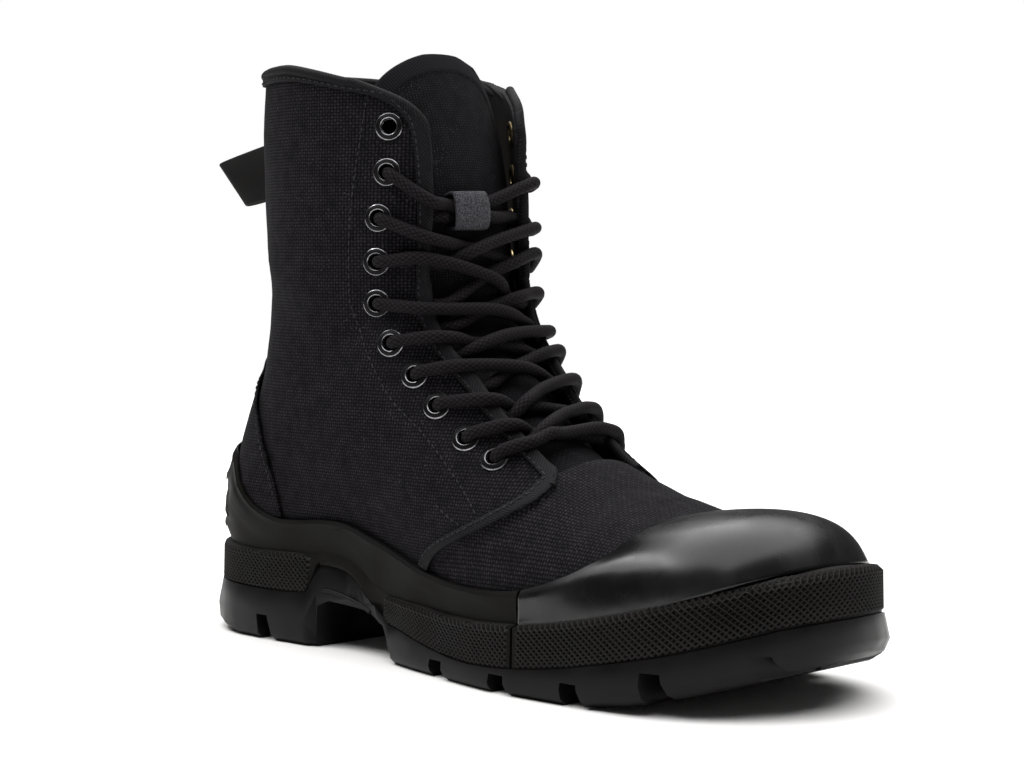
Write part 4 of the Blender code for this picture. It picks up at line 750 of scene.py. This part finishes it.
# Rolled ring and clenched back in section: distance from the middle and height. The first rows make a flat
# disc over the unpierced canvas, coloured black as the painted shadow of the hole.
RING_MM = table("out high", (0.0, 0.06), (2.6, 0.06), (2.75, 0.7), (2.95, 1.15), (3.3, 1.35), (3.7, 1.3),
                (4.2, 0.95), (4.7, 0.75), (5.05, 0.5), (5.2, 0.15), (5.1, -0.2))
BACK_RING_MM = table("out high", (2.6, 0.1), (2.8, 0.6), (3.4, 0.75), (4.4, 0.45), (4.6, 0.0))
RING_STEPS = 30
# Radii: inside HOLE_MM lies the painted shadow of the hole; between FLANGE_MM the ring's top is painted dark
# as shade
HOLE_MM = 2.55
FLANGE_MM = (3.35, 4.6)
# Through the canvas: where the line to its back starts, and how far it reaches
BACK_START_MM, BACK_REACH_MM = 1.0, 6.0

Eyelet = namedtuple("Eyelet", "middle normal")


def find_eyelets():
    """Middle and outward direction of each eyelet, set on the finished canvas."""
    found = {}
    for side, word in ((LATERAL, "lateral"), (MEDIAL, "medial")):
        for number in range(1, EYELETS_A_SIDE + 1):
            points = np.array([v.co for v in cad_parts[f"eyelet_{word}_{number}"].data.vertices])
            middle = points.mean(axis=0)
            normal = Vector(np.linalg.svd(points - middle)[2][2])
            if normal.y * side < 0:
                normal = -normal
            hit, _ = seat(upper_skin, Vector(middle), normal, BACK_REACH_MM)
            found[side, number] = Eyelet(hit, normal)
    return found


def turned_ring(profile, middle, axis):
    """A ring turned about an axis."""
    shape = bmesh.new()
    verts = [shape.verts.new((row.out * MM, 0.0, row.high * MM)) for row in profile]
    edges = [shape.edges.new(pair) for pair in zip(verts, verts[1:])]
    bmesh.ops.spin(shape, geom=verts + edges, cent=(0, 0, 0), axis=(0, 0, 1), angle=2 * math.pi,
                   steps=RING_STEPS, use_merge=True)
    bmesh.ops.remove_doubles(shape, verts=shape.verts, dist=0.005 * MM)
    bmesh.ops.recalc_face_normals(shape, faces=shape.faces)
    for face in shape.faces:
        out = face.calc_center_median().xy.length / MM
        # Painted shadow on the hole's disc, painted shade on the ring's top, bright nickel on the inner lip
        # and outer edge
        face.material_index = 1 if out < HOLE_MM else 2 if FLANGE_MM[0] < out < FLANGE_MM[1] else 0
    shape.transform(Matrix.Translation(middle) @ axis.to_track_quat("Z", "X").to_matrix().to_4x4())
    return shape


def make_eyelets():
    """Rolled rings outside, with a painted shadow in each hole and painted shade on each ring's top, and
    their clenched backs inside.
    """
    rings = [turned_ring(RING_MM, eyelet.middle, eyelet.normal) for eyelet in eyelets.values()]
    names = [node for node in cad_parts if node.startswith("eyelet_")]
    keep_piece("rolled_eyelets", gather(rings), [NICKEL, HOLE_SHADOW_PAINT, FLANGE_SHADE_PAINT], names)
    backs = []
    for middle, normal in eyelets.values():
        hit = upper_skin.ray_cast(middle - normal * BACK_START_MM * MM, -normal, BACK_REACH_MM * MM)[0]
        if hit is not None:
            backs.append(turned_ring(BACK_RING_MM, hit, -normal))
    keep_piece("eyelet_backs", gather(backs), [BRASS, HOLE_SHADOW_PAINT, BRASS])


eyelets = find_eyelets()
make_eyelets()


# Laces

LACE_ROUND_MM = 2.3
BAR_LEVEL, BAR_RISE_MM = EYELETS_A_SIDE, 1.6
# Which side's run lies on top at each crossing, from the second eyelets down
RUN_ON_TOP = {2: LATERAL, 3: MEDIAL, 4: LATERAL, 5: LATERAL, 6: MEDIAL, 7: LATERAL, 8: MEDIAL, 9: MEDIAL}
# Heights of the two runs over the tongue at a crossing, in lace radii
TOP_RUN, LOW_RUN = 2.95, 1.0
KEEPER_LEVEL = 2
KEEPER_RUNS_MM = {LATERAL: 5.6, MEDIAL: 2.3}
KEEPER_MM = Vector((127.0, -6.0, 161.5))
KEEPER_HALF_MM, KEEPER_FALL_MM = 8.0, 2.2
# The keeper's side view: height along the tongue from its middle, and height over the tongue
KEEPER_LINE_MM = table("rise high", (6.4, -0.8), (7.0, 3.4), (6.2, 7.4), (0.0, 8.8), (-6.2, 7.4), (-7.0, 3.4),
                       (-6.4, -0.8))
KEEPER_WIDE_MM, KEEPER_THICK_MM, KEEPER_STEP_MM, KEEPER_ROWS = 12.5, 1.1, 0.6, 10
# Heights over the ring, over the facing's edge, and over the tongue where a run tucks in, with its fall there
OVER_RING_MM, OVER_EDGE_MM, TUCK_MM, TUCK_FALL_MM = 0.4, 0.9, 1.3, 0.8
# Places of a run: out of the hole, past the ring, past the facing's edge
OUT_OF_HOLE_MM, PAST_RING_MM, PAST_EDGE_MM = 1.8, 5.2, 0.6
# Places where it tucks in: a share of the way to the far edge, before that edge, and past it
TUCK_SHARE, TUCK_BEFORE_MM, TUCK_PAST_MM = 0.6, 4.0, 2.0
# Depths below the canvas where a run comes up to its far eyelet from inside, and where runs meet in the hole
UNDER_FACING_MM, IN_HOLE_MM = 5.6, 0.4
# How many eyelet steps down a run heads as it leaves its eyelet, on the outer and the inner side
LACE_SLANTS = {2: (1.6, 0.6), 3: (0.9, 0.5), 4: (-0.2, -0.4), 5: (0.2, -0.4), 6: (0.6, 0.5), 7: (1.1, 0.0),
               8: (1.4, 0.0), 9: (1.1, 0.0), 10: (1.2, 0.0)}
# The upper runs sag a little behind the inner edge before they hook over it
HOOK_SAG_MM, HOOK_LEVEL = 3.2, 5
# The facing's edge is looked for in steps, by lines from above the canvas
EDGE_STEPS, EDGE_STEP_MM, EDGE_ABOVE_MM = 80, 0.5, 4
TONGUE_REACH_MM = 25.0
# Runs are drawn apart where they cross: step along them, rounds, points held at each end, softening of a lift
PART_STEP_MM, PART_ROUNDS, PART_HELD, PART_SOFTENING = 1.2, 60, 4, 14


def opening_edge(side, level, slant=0.0):
    """Where the facing ends in from an eyelet, so many eyelet steps aslant, and the way that leads there."""
    eyelet, opposite = eyelets[side, level], eyelets[-side, level]
    across = opposite.middle - eyelet.middle + (eyelet.middle - eyelets[side, level - 1].middle) * slant
    across = (across - eyelet.normal * across.dot(eyelet.normal)).normalized()
    here = eyelet.middle.copy()
    for _ in range(EDGE_STEPS):
        above = here + across * EDGE_STEP_MM * MM + eyelet.normal * EDGE_ABOVE_MM * MM
        hit = upper_skin.ray_cast(above, -eyelet.normal, 2 * EDGE_ABOVE_MM * MM)[0]
        if hit is None:
            break
        here = hit
    return here, across


def tongue_front(point):
    """The tongue's nearest place to a point, and the direction out of the boot there."""
    hit, facing, _, _ = tongue_skin.find_nearest(point)
    return hit, facing if facing.x + facing.z > 0 else -facing


def over_tongue(spot, y_mm, height_mm):
    """A place over the tongue's front at the level of a spot, so far from the middle line."""
    hit, facing = tongue_front(Vector((spot.x, HEEL_MM.y * MM, spot.z)))
    hit, facing = seat(tongue_skin, hit + Vector((0.0, y_mm * MM, 0.0)), facing, TONGUE_REACH_MM)
    return hit + facing * height_mm * MM


def lace_start(side, level):
    """Out of an eyelet and over the facing's edge."""
    middle, normal = eyelets[side, level]
    edge, across = opening_edge(side, level, LACE_SLANTS[level][side > 0])
    sag = UP * (HOOK_SAG_MM if side == MEDIAL and level <= HOOK_LEVEL else 0.0) * MM
    return [middle - normal * IN_HOLE_MM * MM + across * IN_HOLE_MM * MM,
            middle + normal * OUT_OF_HOLE_MM * MM + across * OUT_OF_HOLE_MM * MM,
            middle + normal * (LACE_ROUND_MM + OVER_RING_MM) * MM + across * PAST_RING_MM * MM - sag,
            edge + normal * (LACE_ROUND_MM + OVER_EDGE_MM) * MM + across * PAST_EDGE_MM * MM]


def lace_way(level, side):
    """The way of one run: over the facing, across the tongue, under the far facing and up into its eyelet."""
    points = lace_start(side, level)
    landing, _ = opening_edge(-side, level + 1)
    if level == KEEPER_LEVEL:
        for turn in (-1, 1):
            spot = place(KEEPER_MM.x, 0.0, KEEPER_MM.z - turn * KEEPER_FALL_MM)
            points.append(over_tongue(spot, KEEPER_MM.y - turn * side * KEEPER_HALF_MM, KEEPER_RUNS_MM[side]))
    else:
        height = LACE_ROUND_MM * (TOP_RUN if RUN_ON_TOP[level] == side else LOW_RUN)
        points.append(over_tongue((points[-1] + landing) / 2, 0.0, height))
    gap = abs(from_heel(landing).y)
    tucks = (TUCK_SHARE * gap, TUCK_FALL_MM), (gap - TUCK_BEFORE_MM, 0.0), (gap + TUCK_PAST_MM, -TUCK_FALL_MM)
    points += [over_tongue(landing, -side * out, LACE_ROUND_MM + TUCK_MM + rise) for out, rise in tucks]
    far = eyelets[-side, level + 1]
    return points + [far.middle - far.normal * depth * MM for depth in (UNDER_FACING_MM, IN_HOLE_MM)]


def bar_way():
    """The straight bar over the lowest eyelets."""
    left, right = lace_start(LATERAL, BAR_LEVEL), lace_start(MEDIAL, BAR_LEVEL)
    return left + [(left[-1] + right[-1]) / 2 + UP * BAR_RISE_MM * MM] + right[::-1]


def part_runs(ways, runs):
    """Lifts the runs apart where they cross; of two levels the run nearer its own eyelet goes over."""
    def goes_over(run, stop, other, there):
        (level, side), (other_level, _) = runs[run], runs[other]
        if level == other_level:
            return RUN_ON_TOP[level] == side
        if BAR_LEVEL in (level, other_level):
            return level == BAR_LEVEL
        return stop / len(paths[run]) < there / len(paths[other])

    paths = [smooth_path(way, PART_STEP_MM * MM) for way in ways]
    spots = [(run, stop) for run, path in enumerate(paths) for stop in range(len(path))]
    thick = 2 * LACE_ROUND_MM * MM
    for _ in range(PART_ROUNDS):
        near = near_tree([paths[run][stop] for run, stop in spots])
        lifts = [np.zeros(len(path)) for path in paths]
        for run, stop in spots:
            for _, number, gap in near.find_range(paths[run][stop], thick):
                other, there = spots[number]
                if other == run or runs[run][0] == runs[other][0] == KEEPER_LEVEL:
                    continue
                push = (thick - gap) / 2 * (1 if goes_over(run, stop, other, there) else -1)
                if abs(push) > abs(lifts[run][stop]):
                    lifts[run][stop] = push
        for path, lift in zip(paths, lifts):
            for _ in range(PART_SOFTENING):
                lift[:PART_HELD] = lift[-PART_HELD:] = 0.0
                lift[1:-1] = lift[1:-1] / 2 + (lift[:-2] + lift[2:]) / 4
            for stop, rise in enumerate(lift):
                hit, outward = tongue_front(path[stop])
                above = (path[stop] - hit).dot(outward)
                path[stop] += outward * max(float(rise), min(thick / 2 - above, 0.0))
    return paths


def make_keeper():
    """A webbing loop on the tongue that the top crossing passes through."""
    line = smooth_path([Vector((row.rise, row.high, 0.0)) for row in KEEPER_LINE_MM], KEEPER_STEP_MM)
    count = len(line) - 1

    def at(u, v):
        spot = line[int(round(u * count))]
        level = place(KEEPER_MM.x, 0.0, KEEPER_MM.z + spot.x)
        return over_tongue(level, KEEPER_MM.y + (v - 0.5) * KEEPER_WIDE_MM, spot.y)

    shape = bent_grid(count, KEEPER_ROWS, at)
    bmesh.ops.recalc_face_normals(shape, faces=shape.faces)
    bmesh.ops.solidify(shape, geom=shape.faces[:], thickness=KEEPER_THICK_MM * MM)
    bmesh.ops.recalc_face_normals(shape, faces=shape.faces)
    return shape


def make_laces():
    """One braided lace drawn as its visible runs, its keeper, and the pull tape at the back."""
    runs = [(level, side) for level in RUN_ON_TOP for side in (LATERAL, MEDIAL)]
    ways = [bar_way()] + [lace_way(level, side) for level, side in runs]
    paths = part_runs(ways, [(BAR_LEVEL, LATERAL)] + runs)
    names = [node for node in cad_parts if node.startswith("lace_") and node != "lace_keeper"]
    keep_piece("braided_lace", gather([cord(path, LACE_ROUND_MM) for path in paths]), [CORD], names)
    keep_piece("lace_keeper_loop", make_keeper(), [WEBBING], ["lace_keeper"])
    loop = rounded(solid_copy("pull_loop"), 1, 40)
    keep_piece("back_pull_tape", loop, [SATIN], ["pull_loop"])


make_laces()


# Rubber

# Sole's side by distance from the heel: ground, and lower and upper edge of the knurled band
BAND_MM = table(
    "x ground low top",
    (-10, 10.5, 20.0, 34.0), (8, 5.6, 20.0, 34.0), (20, 2.4, 20.0, 34.0), (35, 0.4, 19.8, 33.8),
    (50, 0, 19.6, 33.8), (77, 0, 20.4, 34.4), (79, 0, 21.1, 34.6), (108, 0, 23.6, 28.0), (114, 0, 17.6, 25.0),
    (124, 0, 14.3, 23.5), (134, 0, 13.0, 23.1), (146, 0, 11.0, 22.7), (160, 0, 9.0, 22.0),
    (178, 0, 8.2, 22.2), (199, 0, 9.4, 23.6), (201, 0, 9.6, 23.0), (225, 0, 12.9, 26.8),
    (240, 1.2, 15.9, 30.0), (255, 3.9, 19.0, 33.8), (267, 7.0, 22.3, 37.2), (280, 10.6, 26.5, 41.0),
    (290, 14.6, 30.1, 44.0), (300, 19.5, 32.2, 46.4),
)
BAND_X, BAND_GROUND, BAND_LOW, BAND_TOP = zip(*BAND_MM)
# Stretches of knurl: shares of the way round to look in, limits kept along the sole, and rows on the ledge
STRETCHES_MM = table("node first last back front ledge", ("foxing", 0.14, 0.5, 120, 198.8, 0),
                     ("foxing", 0.3, 0.75, -50, 78.5, 0), ("foxing", 0.5, 0.9, 120, 198.8, 0),
                     ("toe_bumper", 0.75, 1.25, 201.2, 400, 4))
KNURL_LONG_MM, KNURL_ROWS, KNURL_TRIES = 1.2, 14, 1400
KNURL_HIGH_MM, KNURL_DEEP_MM, KNURL_SINK_MM = 0.7, 0.9, -0.6
# The pits at the lowest row have this share of their depth, and deepen so fast up the band
PIT_SHALLOW, PIT_DEEPENING = 0.45, 2.2
# The ledge over the band: step between rows, and height and reach of the lines cast down on it
LEDGE_STEP_MM, LEDGE_ABOVE_MM, LEDGE_REACH = 1.1, 12, 0.03
# The band's face: first guess of the way in, drops tried where a line misses, and the furthest hit counted
BAND_IN_MM, BAND_TRIES_MM, BAND_FURTHEST = 95.0, (0.0, 0.5, 1.0, 1.6, 2.2), 0.14
BAND_START = -0.07
# The way round the sole turns about these places, outside it, and counts its ends as arcs of this radius
HEEL_TURN_MM, TOE_TURN_MM, OUTSIDE_MM, ARC_ROUND_MM = 45.0, 238.0, 150, 50.0

# Top of the heel's plain rim by the turn about the heel's axis from the back, in degrees
RIM_LEVELS_MM = table("turn solid drawn", (0, 72, 75), (35, 63.5, 74), (50, 57, 73), (62, 53.5, 71.5),
                      (70, 51.5, 69.5), (75, 50.6, 66.5), (80, 49.8, 61.5), (85, 49.0, 56), (91, 48.2, 51.5),
                      (99, 47.2, 48.5), (112, 46.3, 46.3))
HEEL_AXIS_MM, RIM_FROM_MM = 45.0, 60.0
# The climbing rim lies this much further out, over the heel patch, once it has climbed so far
RIM_OVER_MM, RIM_OVER_LIFT_MM = 1.2, 6.0

# Slope of the sole's rolled side by its share of the height over the ground
WALL_SLOPES = table("share rise", (0.0, -0.75), (0.12, -0.4), (0.3, -0.14), (0.5, 0.02), (0.85, 0.14),
                    (1.0, 0.3))
WALL_SHARE, WALL_RISE = zip(*WALL_SLOPES)
# A face is part of the side if it stands this upright and looks this much the same way as the strip above
STANDING, SAME_WAY = 0.2, 0.7
ARCH_MM = (79.0, 131.0)
# Lip along the lower edge of the arch's panel, in side view
ARCH_LIP_MM = [(85.5, 21.6), (92.0, 21.2), (100.0, 19.9), (107.0, 18.2), (113.0, 16.4)]
ARCH_LIP_ROUND_MM = 0.7
FOXING_EASE_MM, STRIP_EASE_MM, SOLE_EASE_MM = 0.9, 1.6, 0.8
BAND_DROP_MM, CAP_DROP_MM = 1.2, 0.9
CAP_SMOOTHING, CAP_SOFT_ANGLE = 20, 20


def band_level(x_mm, levels):
    """A level of the sole's side at a distance from the heel."""
    return float(np.interp(x_mm, BAND_X, levels))


def turned_start(x_mm, turn):
    """Outside start and inward direction at a turn about a place on the middle line."""
    out = Vector((math.cos(turn), math.sin(turn), 0.0))
    return Vector((x_mm, 0.0, 0.0)) + out * OUTSIDE_MM, -out


def way_round(share):
    """Outside start and inward direction at a share of the way round, from the toe by the outer side."""
    straight = TOE_TURN_MM - HEEL_TURN_MM
    arc = math.pi * ARC_ROUND_MM
    run = share * (2 * straight + 2 * arc)
    if run < arc / 2:
        return turned_start(TOE_TURN_MM, -run / ARC_ROUND_MM)
    run -= arc / 2
    if run < straight:
        return turned_start(TOE_TURN_MM - run, -math.pi / 2)
    run -= straight
    if run < arc:
        return turned_start(HEEL_TURN_MM, -math.pi / 2 - run / ARC_ROUND_MM)
    run -= arc
    if run < straight:
        return turned_start(HEEL_TURN_MM + run, math.pi / 2)
    return turned_start(TOE_TURN_MM, math.pi / 2 - (run - straight) / ARC_ROUND_MM)


def band_hit(tree, share, height, over_mm=0.0):
    """Where the band's face lies at a share of the way round and of its height, or so far in on its ledge."""
    start, inward = way_round(share % 1.0)
    reach = start + inward * BAND_IN_MM
    for _ in range(2):
        low, top = band_level(reach.x, BAND_LOW), band_level(reach.x, BAND_TOP)
        z = low + (top - low) * height
        for drop in BAND_TRIES_MM:
            hit, facing, _, _ = tree.ray_cast(place(start.x, start.y, z - drop), inward, REACH)
            if hit is not None and (hit - place(start.x, start.y, z)).length < BAND_FURTHEST:
                break
        else:
            hit, facing, _, _ = tree.find_nearest(place(reach.x, reach.y, z))
        reach = from_heel(hit)
    if over_mm:
        above = hit + (inward * over_mm + UP * LEDGE_ABOVE_MM) * MM
        ledge, upward, _, _ = tree.ray_cast(above, -UP, LEDGE_REACH)
        if ledge is not None:
            return ledge, upward
    return hit, facing


def knurl(tree, stretch):
    """A lattice of raised lines over one stretch of the band, and over rows of its top ledge."""
    rows = KNURL_ROWS + stretch.ledge
    track = []
    for share in np.linspace(stretch.first, stretch.last, KNURL_TRIES):
        hit, _ = band_hit(tree, float(share), 0.5)
        if stretch.back < from_heel(hit).x < stretch.front:
            track.append((float(share), hit))
    run = np.concatenate([[0.0], np.cumsum([(b[1] - a[1]).length for a, b in zip(track, track[1:])])])
    columns = int(run[-1] / (KNURL_LONG_MM * MM)) // 2 * 2
    stops = np.interp(np.linspace(0, run[-1], columns + 1), run, [t[0] for t in track])

    def raised(u, v):
        return (int(round(u * columns)) + int(round(v * rows))) % 2 == 1

    def at(u, v):
        column, row = int(round(u * columns)), int(round(v * rows))
        over = max(row - KNURL_ROWS, 0)
        height = min(BAND_START + (1 - BAND_START) * row / KNURL_ROWS, 1.0)
        hit, facing = band_hit(tree, float(stops[column]), height, over * LEDGE_STEP_MM)
        border = column in (0, columns) or row in (0, rows)
        share = PIT_SHALLOW + (1 - PIT_SHALLOW) * min(1.0, PIT_DEEPENING * row / KNURL_ROWS)
        high = KNURL_SINK_MM if border else KNURL_HIGH_MM - (0.0 if raised(u, v) else KNURL_DEEP_MM * share)
        return hit + facing * high * MM

    return bent_grid(columns, rows, at, raised=raised)


def lowered(shape, drop_mm):
    """The shape with its underside let down, so that it meets the piece below."""
    for vert in [vert for vert in shape.verts if vert.normal.z < -0.5]:
        vert.co.z -= drop_mm * MM
    shape.normal_update()
    return shape


def climb(shape, tree):
    """Draws the heel's plain rim further up the canvas, as it climbs at the back."""
    turns, solid, drawn = zip(*RIM_LEVELS_MM)
    for vert in shape.verts:
        spot = from_heel(vert.co)
        band = band_level(spot.x, BAND_TOP)
        turn = math.degrees(math.atan2(abs(spot.y), HEEL_AXIS_MM - spot.x))
        if spot.z < band + 1 or turn > turns[-1]:
            continue
        old, new = float(np.interp(turn, turns, solid)), float(np.interp(turn, turns, drawn))
        inward = Vector((HEEL_AXIS_MM - spot.x, -spot.y, 0.0)).normalized()
        start = vert.co - inward * RIM_FROM_MM * MM
        lift = UP * ((new - old) * (spot.z - band) / (old - band) * MM)
        here = tree.ray_cast(start, inward, REACH)[0]
        there = tree.ray_cast(start + lift, inward, REACH)[0]
        vert.co += there - here - inward * RIM_OVER_MM * min(lift.z / RIM_OVER_LIFT_MM, MM)
    shape.normal_update()
    return shape


def even_walls(piece, tree):
    """Shades the sole's side as one rolled surface that follows the strip above it."""
    mesh = piece.data
    normals = [Vector(corner.vector) for corner in mesh.corner_normals]
    for face in mesh.polygons:
        flat = Vector((face.normal.x, face.normal.y, 0.0))
        if flat.length < STANDING:
            continue
        for corner in face.loop_indices:
            spot = from_heel(mesh.vertices[mesh.loops[corner].vertex_index].co)
            ground, low, top = (band_level(spot.x, levels) for levels in (BAND_GROUND, BAND_LOW, BAND_TOP))
            side = tree.find_nearest(place(spot.x, spot.y, (low + top) / 2))[1]
            side = Vector((side.x, side.y, 0.0)).normalized()
            if side.dot(flat.normalized()) < SAME_WAY:
                continue
            rise = normals[corner].z
            if not ARCH_MM[0] < spot.x < ARCH_MM[1]:
                rise = float(np.interp((spot.z - ground) / (low - ground), WALL_SHARE, WALL_RISE))
            normals[corner] = side * math.sqrt(max(1 - rise * rise, 0.0)) + UP * rise
    mesh.normals_split_custom_set(normals)


def make_rubber():
    """Foxing, toe strip, knurled lattice, toe cap, outsole with its lips, and the foot bed."""
    foxing = rounded(eased(solid_copy("foxing"), FOXING_EASE_MM), 2, 60, 0.3)
    foxing = climb(lowered(foxing, BAND_DROP_MM), upper_skin)
    strip = lowered(rounded(eased(solid_copy("toe_bumper"), STRIP_EASE_MM), 2, 60, 0.3), BAND_DROP_MM)
    skins = {"foxing": BVHTree.FromBMesh(foxing), "toe_bumper": BVHTree.FromBMesh(strip)}
    band_skin = BVHTree.FromBMesh(gather([foxing.copy(), strip.copy()]))
    keep_piece("side_foxing", foxing, [FOXING_RUBBER], ["foxing"])
    keep_piece("toe_strip", strip, [FOXING_RUBBER], ["toe_bumper"])
    lattice = gather([knurl(skins[stretch.node], stretch) for stretch in STRETCHES_MM])
    bmesh.ops.recalc_face_normals(lattice, faces=lattice.faces)
    keep_piece("knurled_band", lattice, [KNURL_RUBBER]).data.shade_flat()
    cap = lowered(rounded(solid_copy("toe_cap"), 3, 50), CAP_DROP_MM)
    soft = [vert for vert in cap.verts if sharpest(vert) < math.radians(CAP_SOFT_ANGLE)]
    soften(cap, soft, CAP_SMOOTHING)
    keep_piece("rubber_toe_cap", cap, [CAP_RUBBER], ["toe_cap"])
    sole = solid_copy("outsole")
    bmesh.ops.dissolve_limit(sole, angle_limit=math.radians(1.5), verts=sole.verts, edges=sole.edges)
    sole = eased(sole, SOLE_EASE_MM)
    sole_skin = BVHTree.FromBMesh(sole)
    lips = [cord(side_line(sole_skin, ARCH_LIP_MM, side), ARCH_LIP_ROUND_MM) for side in (LATERAL, MEDIAL)]
    keep_piece("arch_lips", gather(lips), [SOLE_RUBBER])
    tread = keep_piece("lugged_outsole", sole, [SOLE_RUBBER], ["outsole"])
    tread.data.set_sharp_from_angle(angle=math.radians(40))
    even_walls(tread, band_skin)
    keep_piece("foot_bed", rounded(solid_copy("insole"), 1, 40), [LINING], ["insole"])


make_rubber()


# Studio

CAMERA_MM = (745.5, -600.3, 150.5)
CAMERA_TURN, CAMERA_DIP = 45.07, 3.46
CAMERA_LENS_MM = 82.46
SURROUND_LIGHT = 0.1
FLOOR_HALF = 1.2
LAMPS = table("name spot aim size power",
              ("overhead_softbox", (-0.3, 0.6, 2.2), (-0.3, 0.6, 0.0), (4.4, 4.4), 190.0),
              ("strip_softbox", (-0.6, -0.6, 1.3), (0.05, 0.0, 0.05), (1.5, 0.16), 7.0))


def make_floor():
    """A pale paper floor."""
    shape = bmesh.new()
    bmesh.ops.create_grid(shape, x_segments=1, y_segments=1, size=FLOOR_HALF)
    mesh = bpy.data.meshes.new("studio_floor")
    shape.to_mesh(mesh)
    shape.free()
    paper = Finish("matt_white_paper", "#f4f3f2", 0.9)
    paper.feed(Base_Color=paper.blend(paper.spots(900.0, 0.3, 0.7), "#f3f2f1", "#f5f4f3"))
    mesh.materials.append(paper.material)
    floor = bpy.data.objects.new("studio_floor", mesh)
    bpy.context.scene.collection.objects.link(floor)


def make_surround():
    """A white surround that lights the boot less than it shows."""
    world = bpy.data.worlds.new("white_surround")
    world.use_nodes = True
    nodes, links = world.node_tree.nodes, world.node_tree.links
    surround = nodes["Background"]
    surround.inputs[0].default_value = linear("#ffffff")
    rays = nodes.new("ShaderNodeLightPath")
    level = nodes.new("ShaderNodeMapRange")
    level.inputs[3].default_value, level.inputs[4].default_value = SURROUND_LIGHT, 1.0
    links.new(rays.outputs["Is Camera Ray"], level.inputs[0])
    links.new(level.outputs[0], surround.inputs[1])
    bpy.context.scene.world = world
    bpy.context.scene.view_settings.view_transform = "Standard"


def make_lamps():
    """Soft rectangular lamps."""
    for row in LAMPS:
        lamp = bpy.data.lights.new(row.name, "AREA")
        lamp.shape = "RECTANGLE"
        lamp.size, lamp.size_y = row.size
        lamp.energy = row.power
        holder = bpy.data.objects.new(row.name, lamp)
        holder.location = row.spot
        holder.rotation_euler = (Vector(row.aim) - Vector(row.spot)).to_track_quat("-Z", "Y").to_euler()
        bpy.context.scene.collection.objects.link(holder)


def make_camera():
    """The photo's camera."""
    camera = bpy.data.objects.new("photo_camera", bpy.data.cameras.new("photo_camera"))
    camera.data.sensor_width = 36.0
    camera.data.lens = CAMERA_LENS_MM
    camera.data.clip_start = 0.01
    turn, dip = math.radians(CAMERA_TURN), math.radians(CAMERA_DIP)
    look = Vector((-math.cos(turn) * math.cos(dip), math.sin(turn) * math.cos(dip), -math.sin(dip)))
    camera.location = place(*CAMERA_MM)
    camera.rotation_euler = look.to_track_quat("-Z", "Y").to_euler()
    bpy.context.scene.collection.objects.link(camera)
    bpy.context.scene.camera = camera


make_floor()
make_surround()
make_lamps()
make_camera()
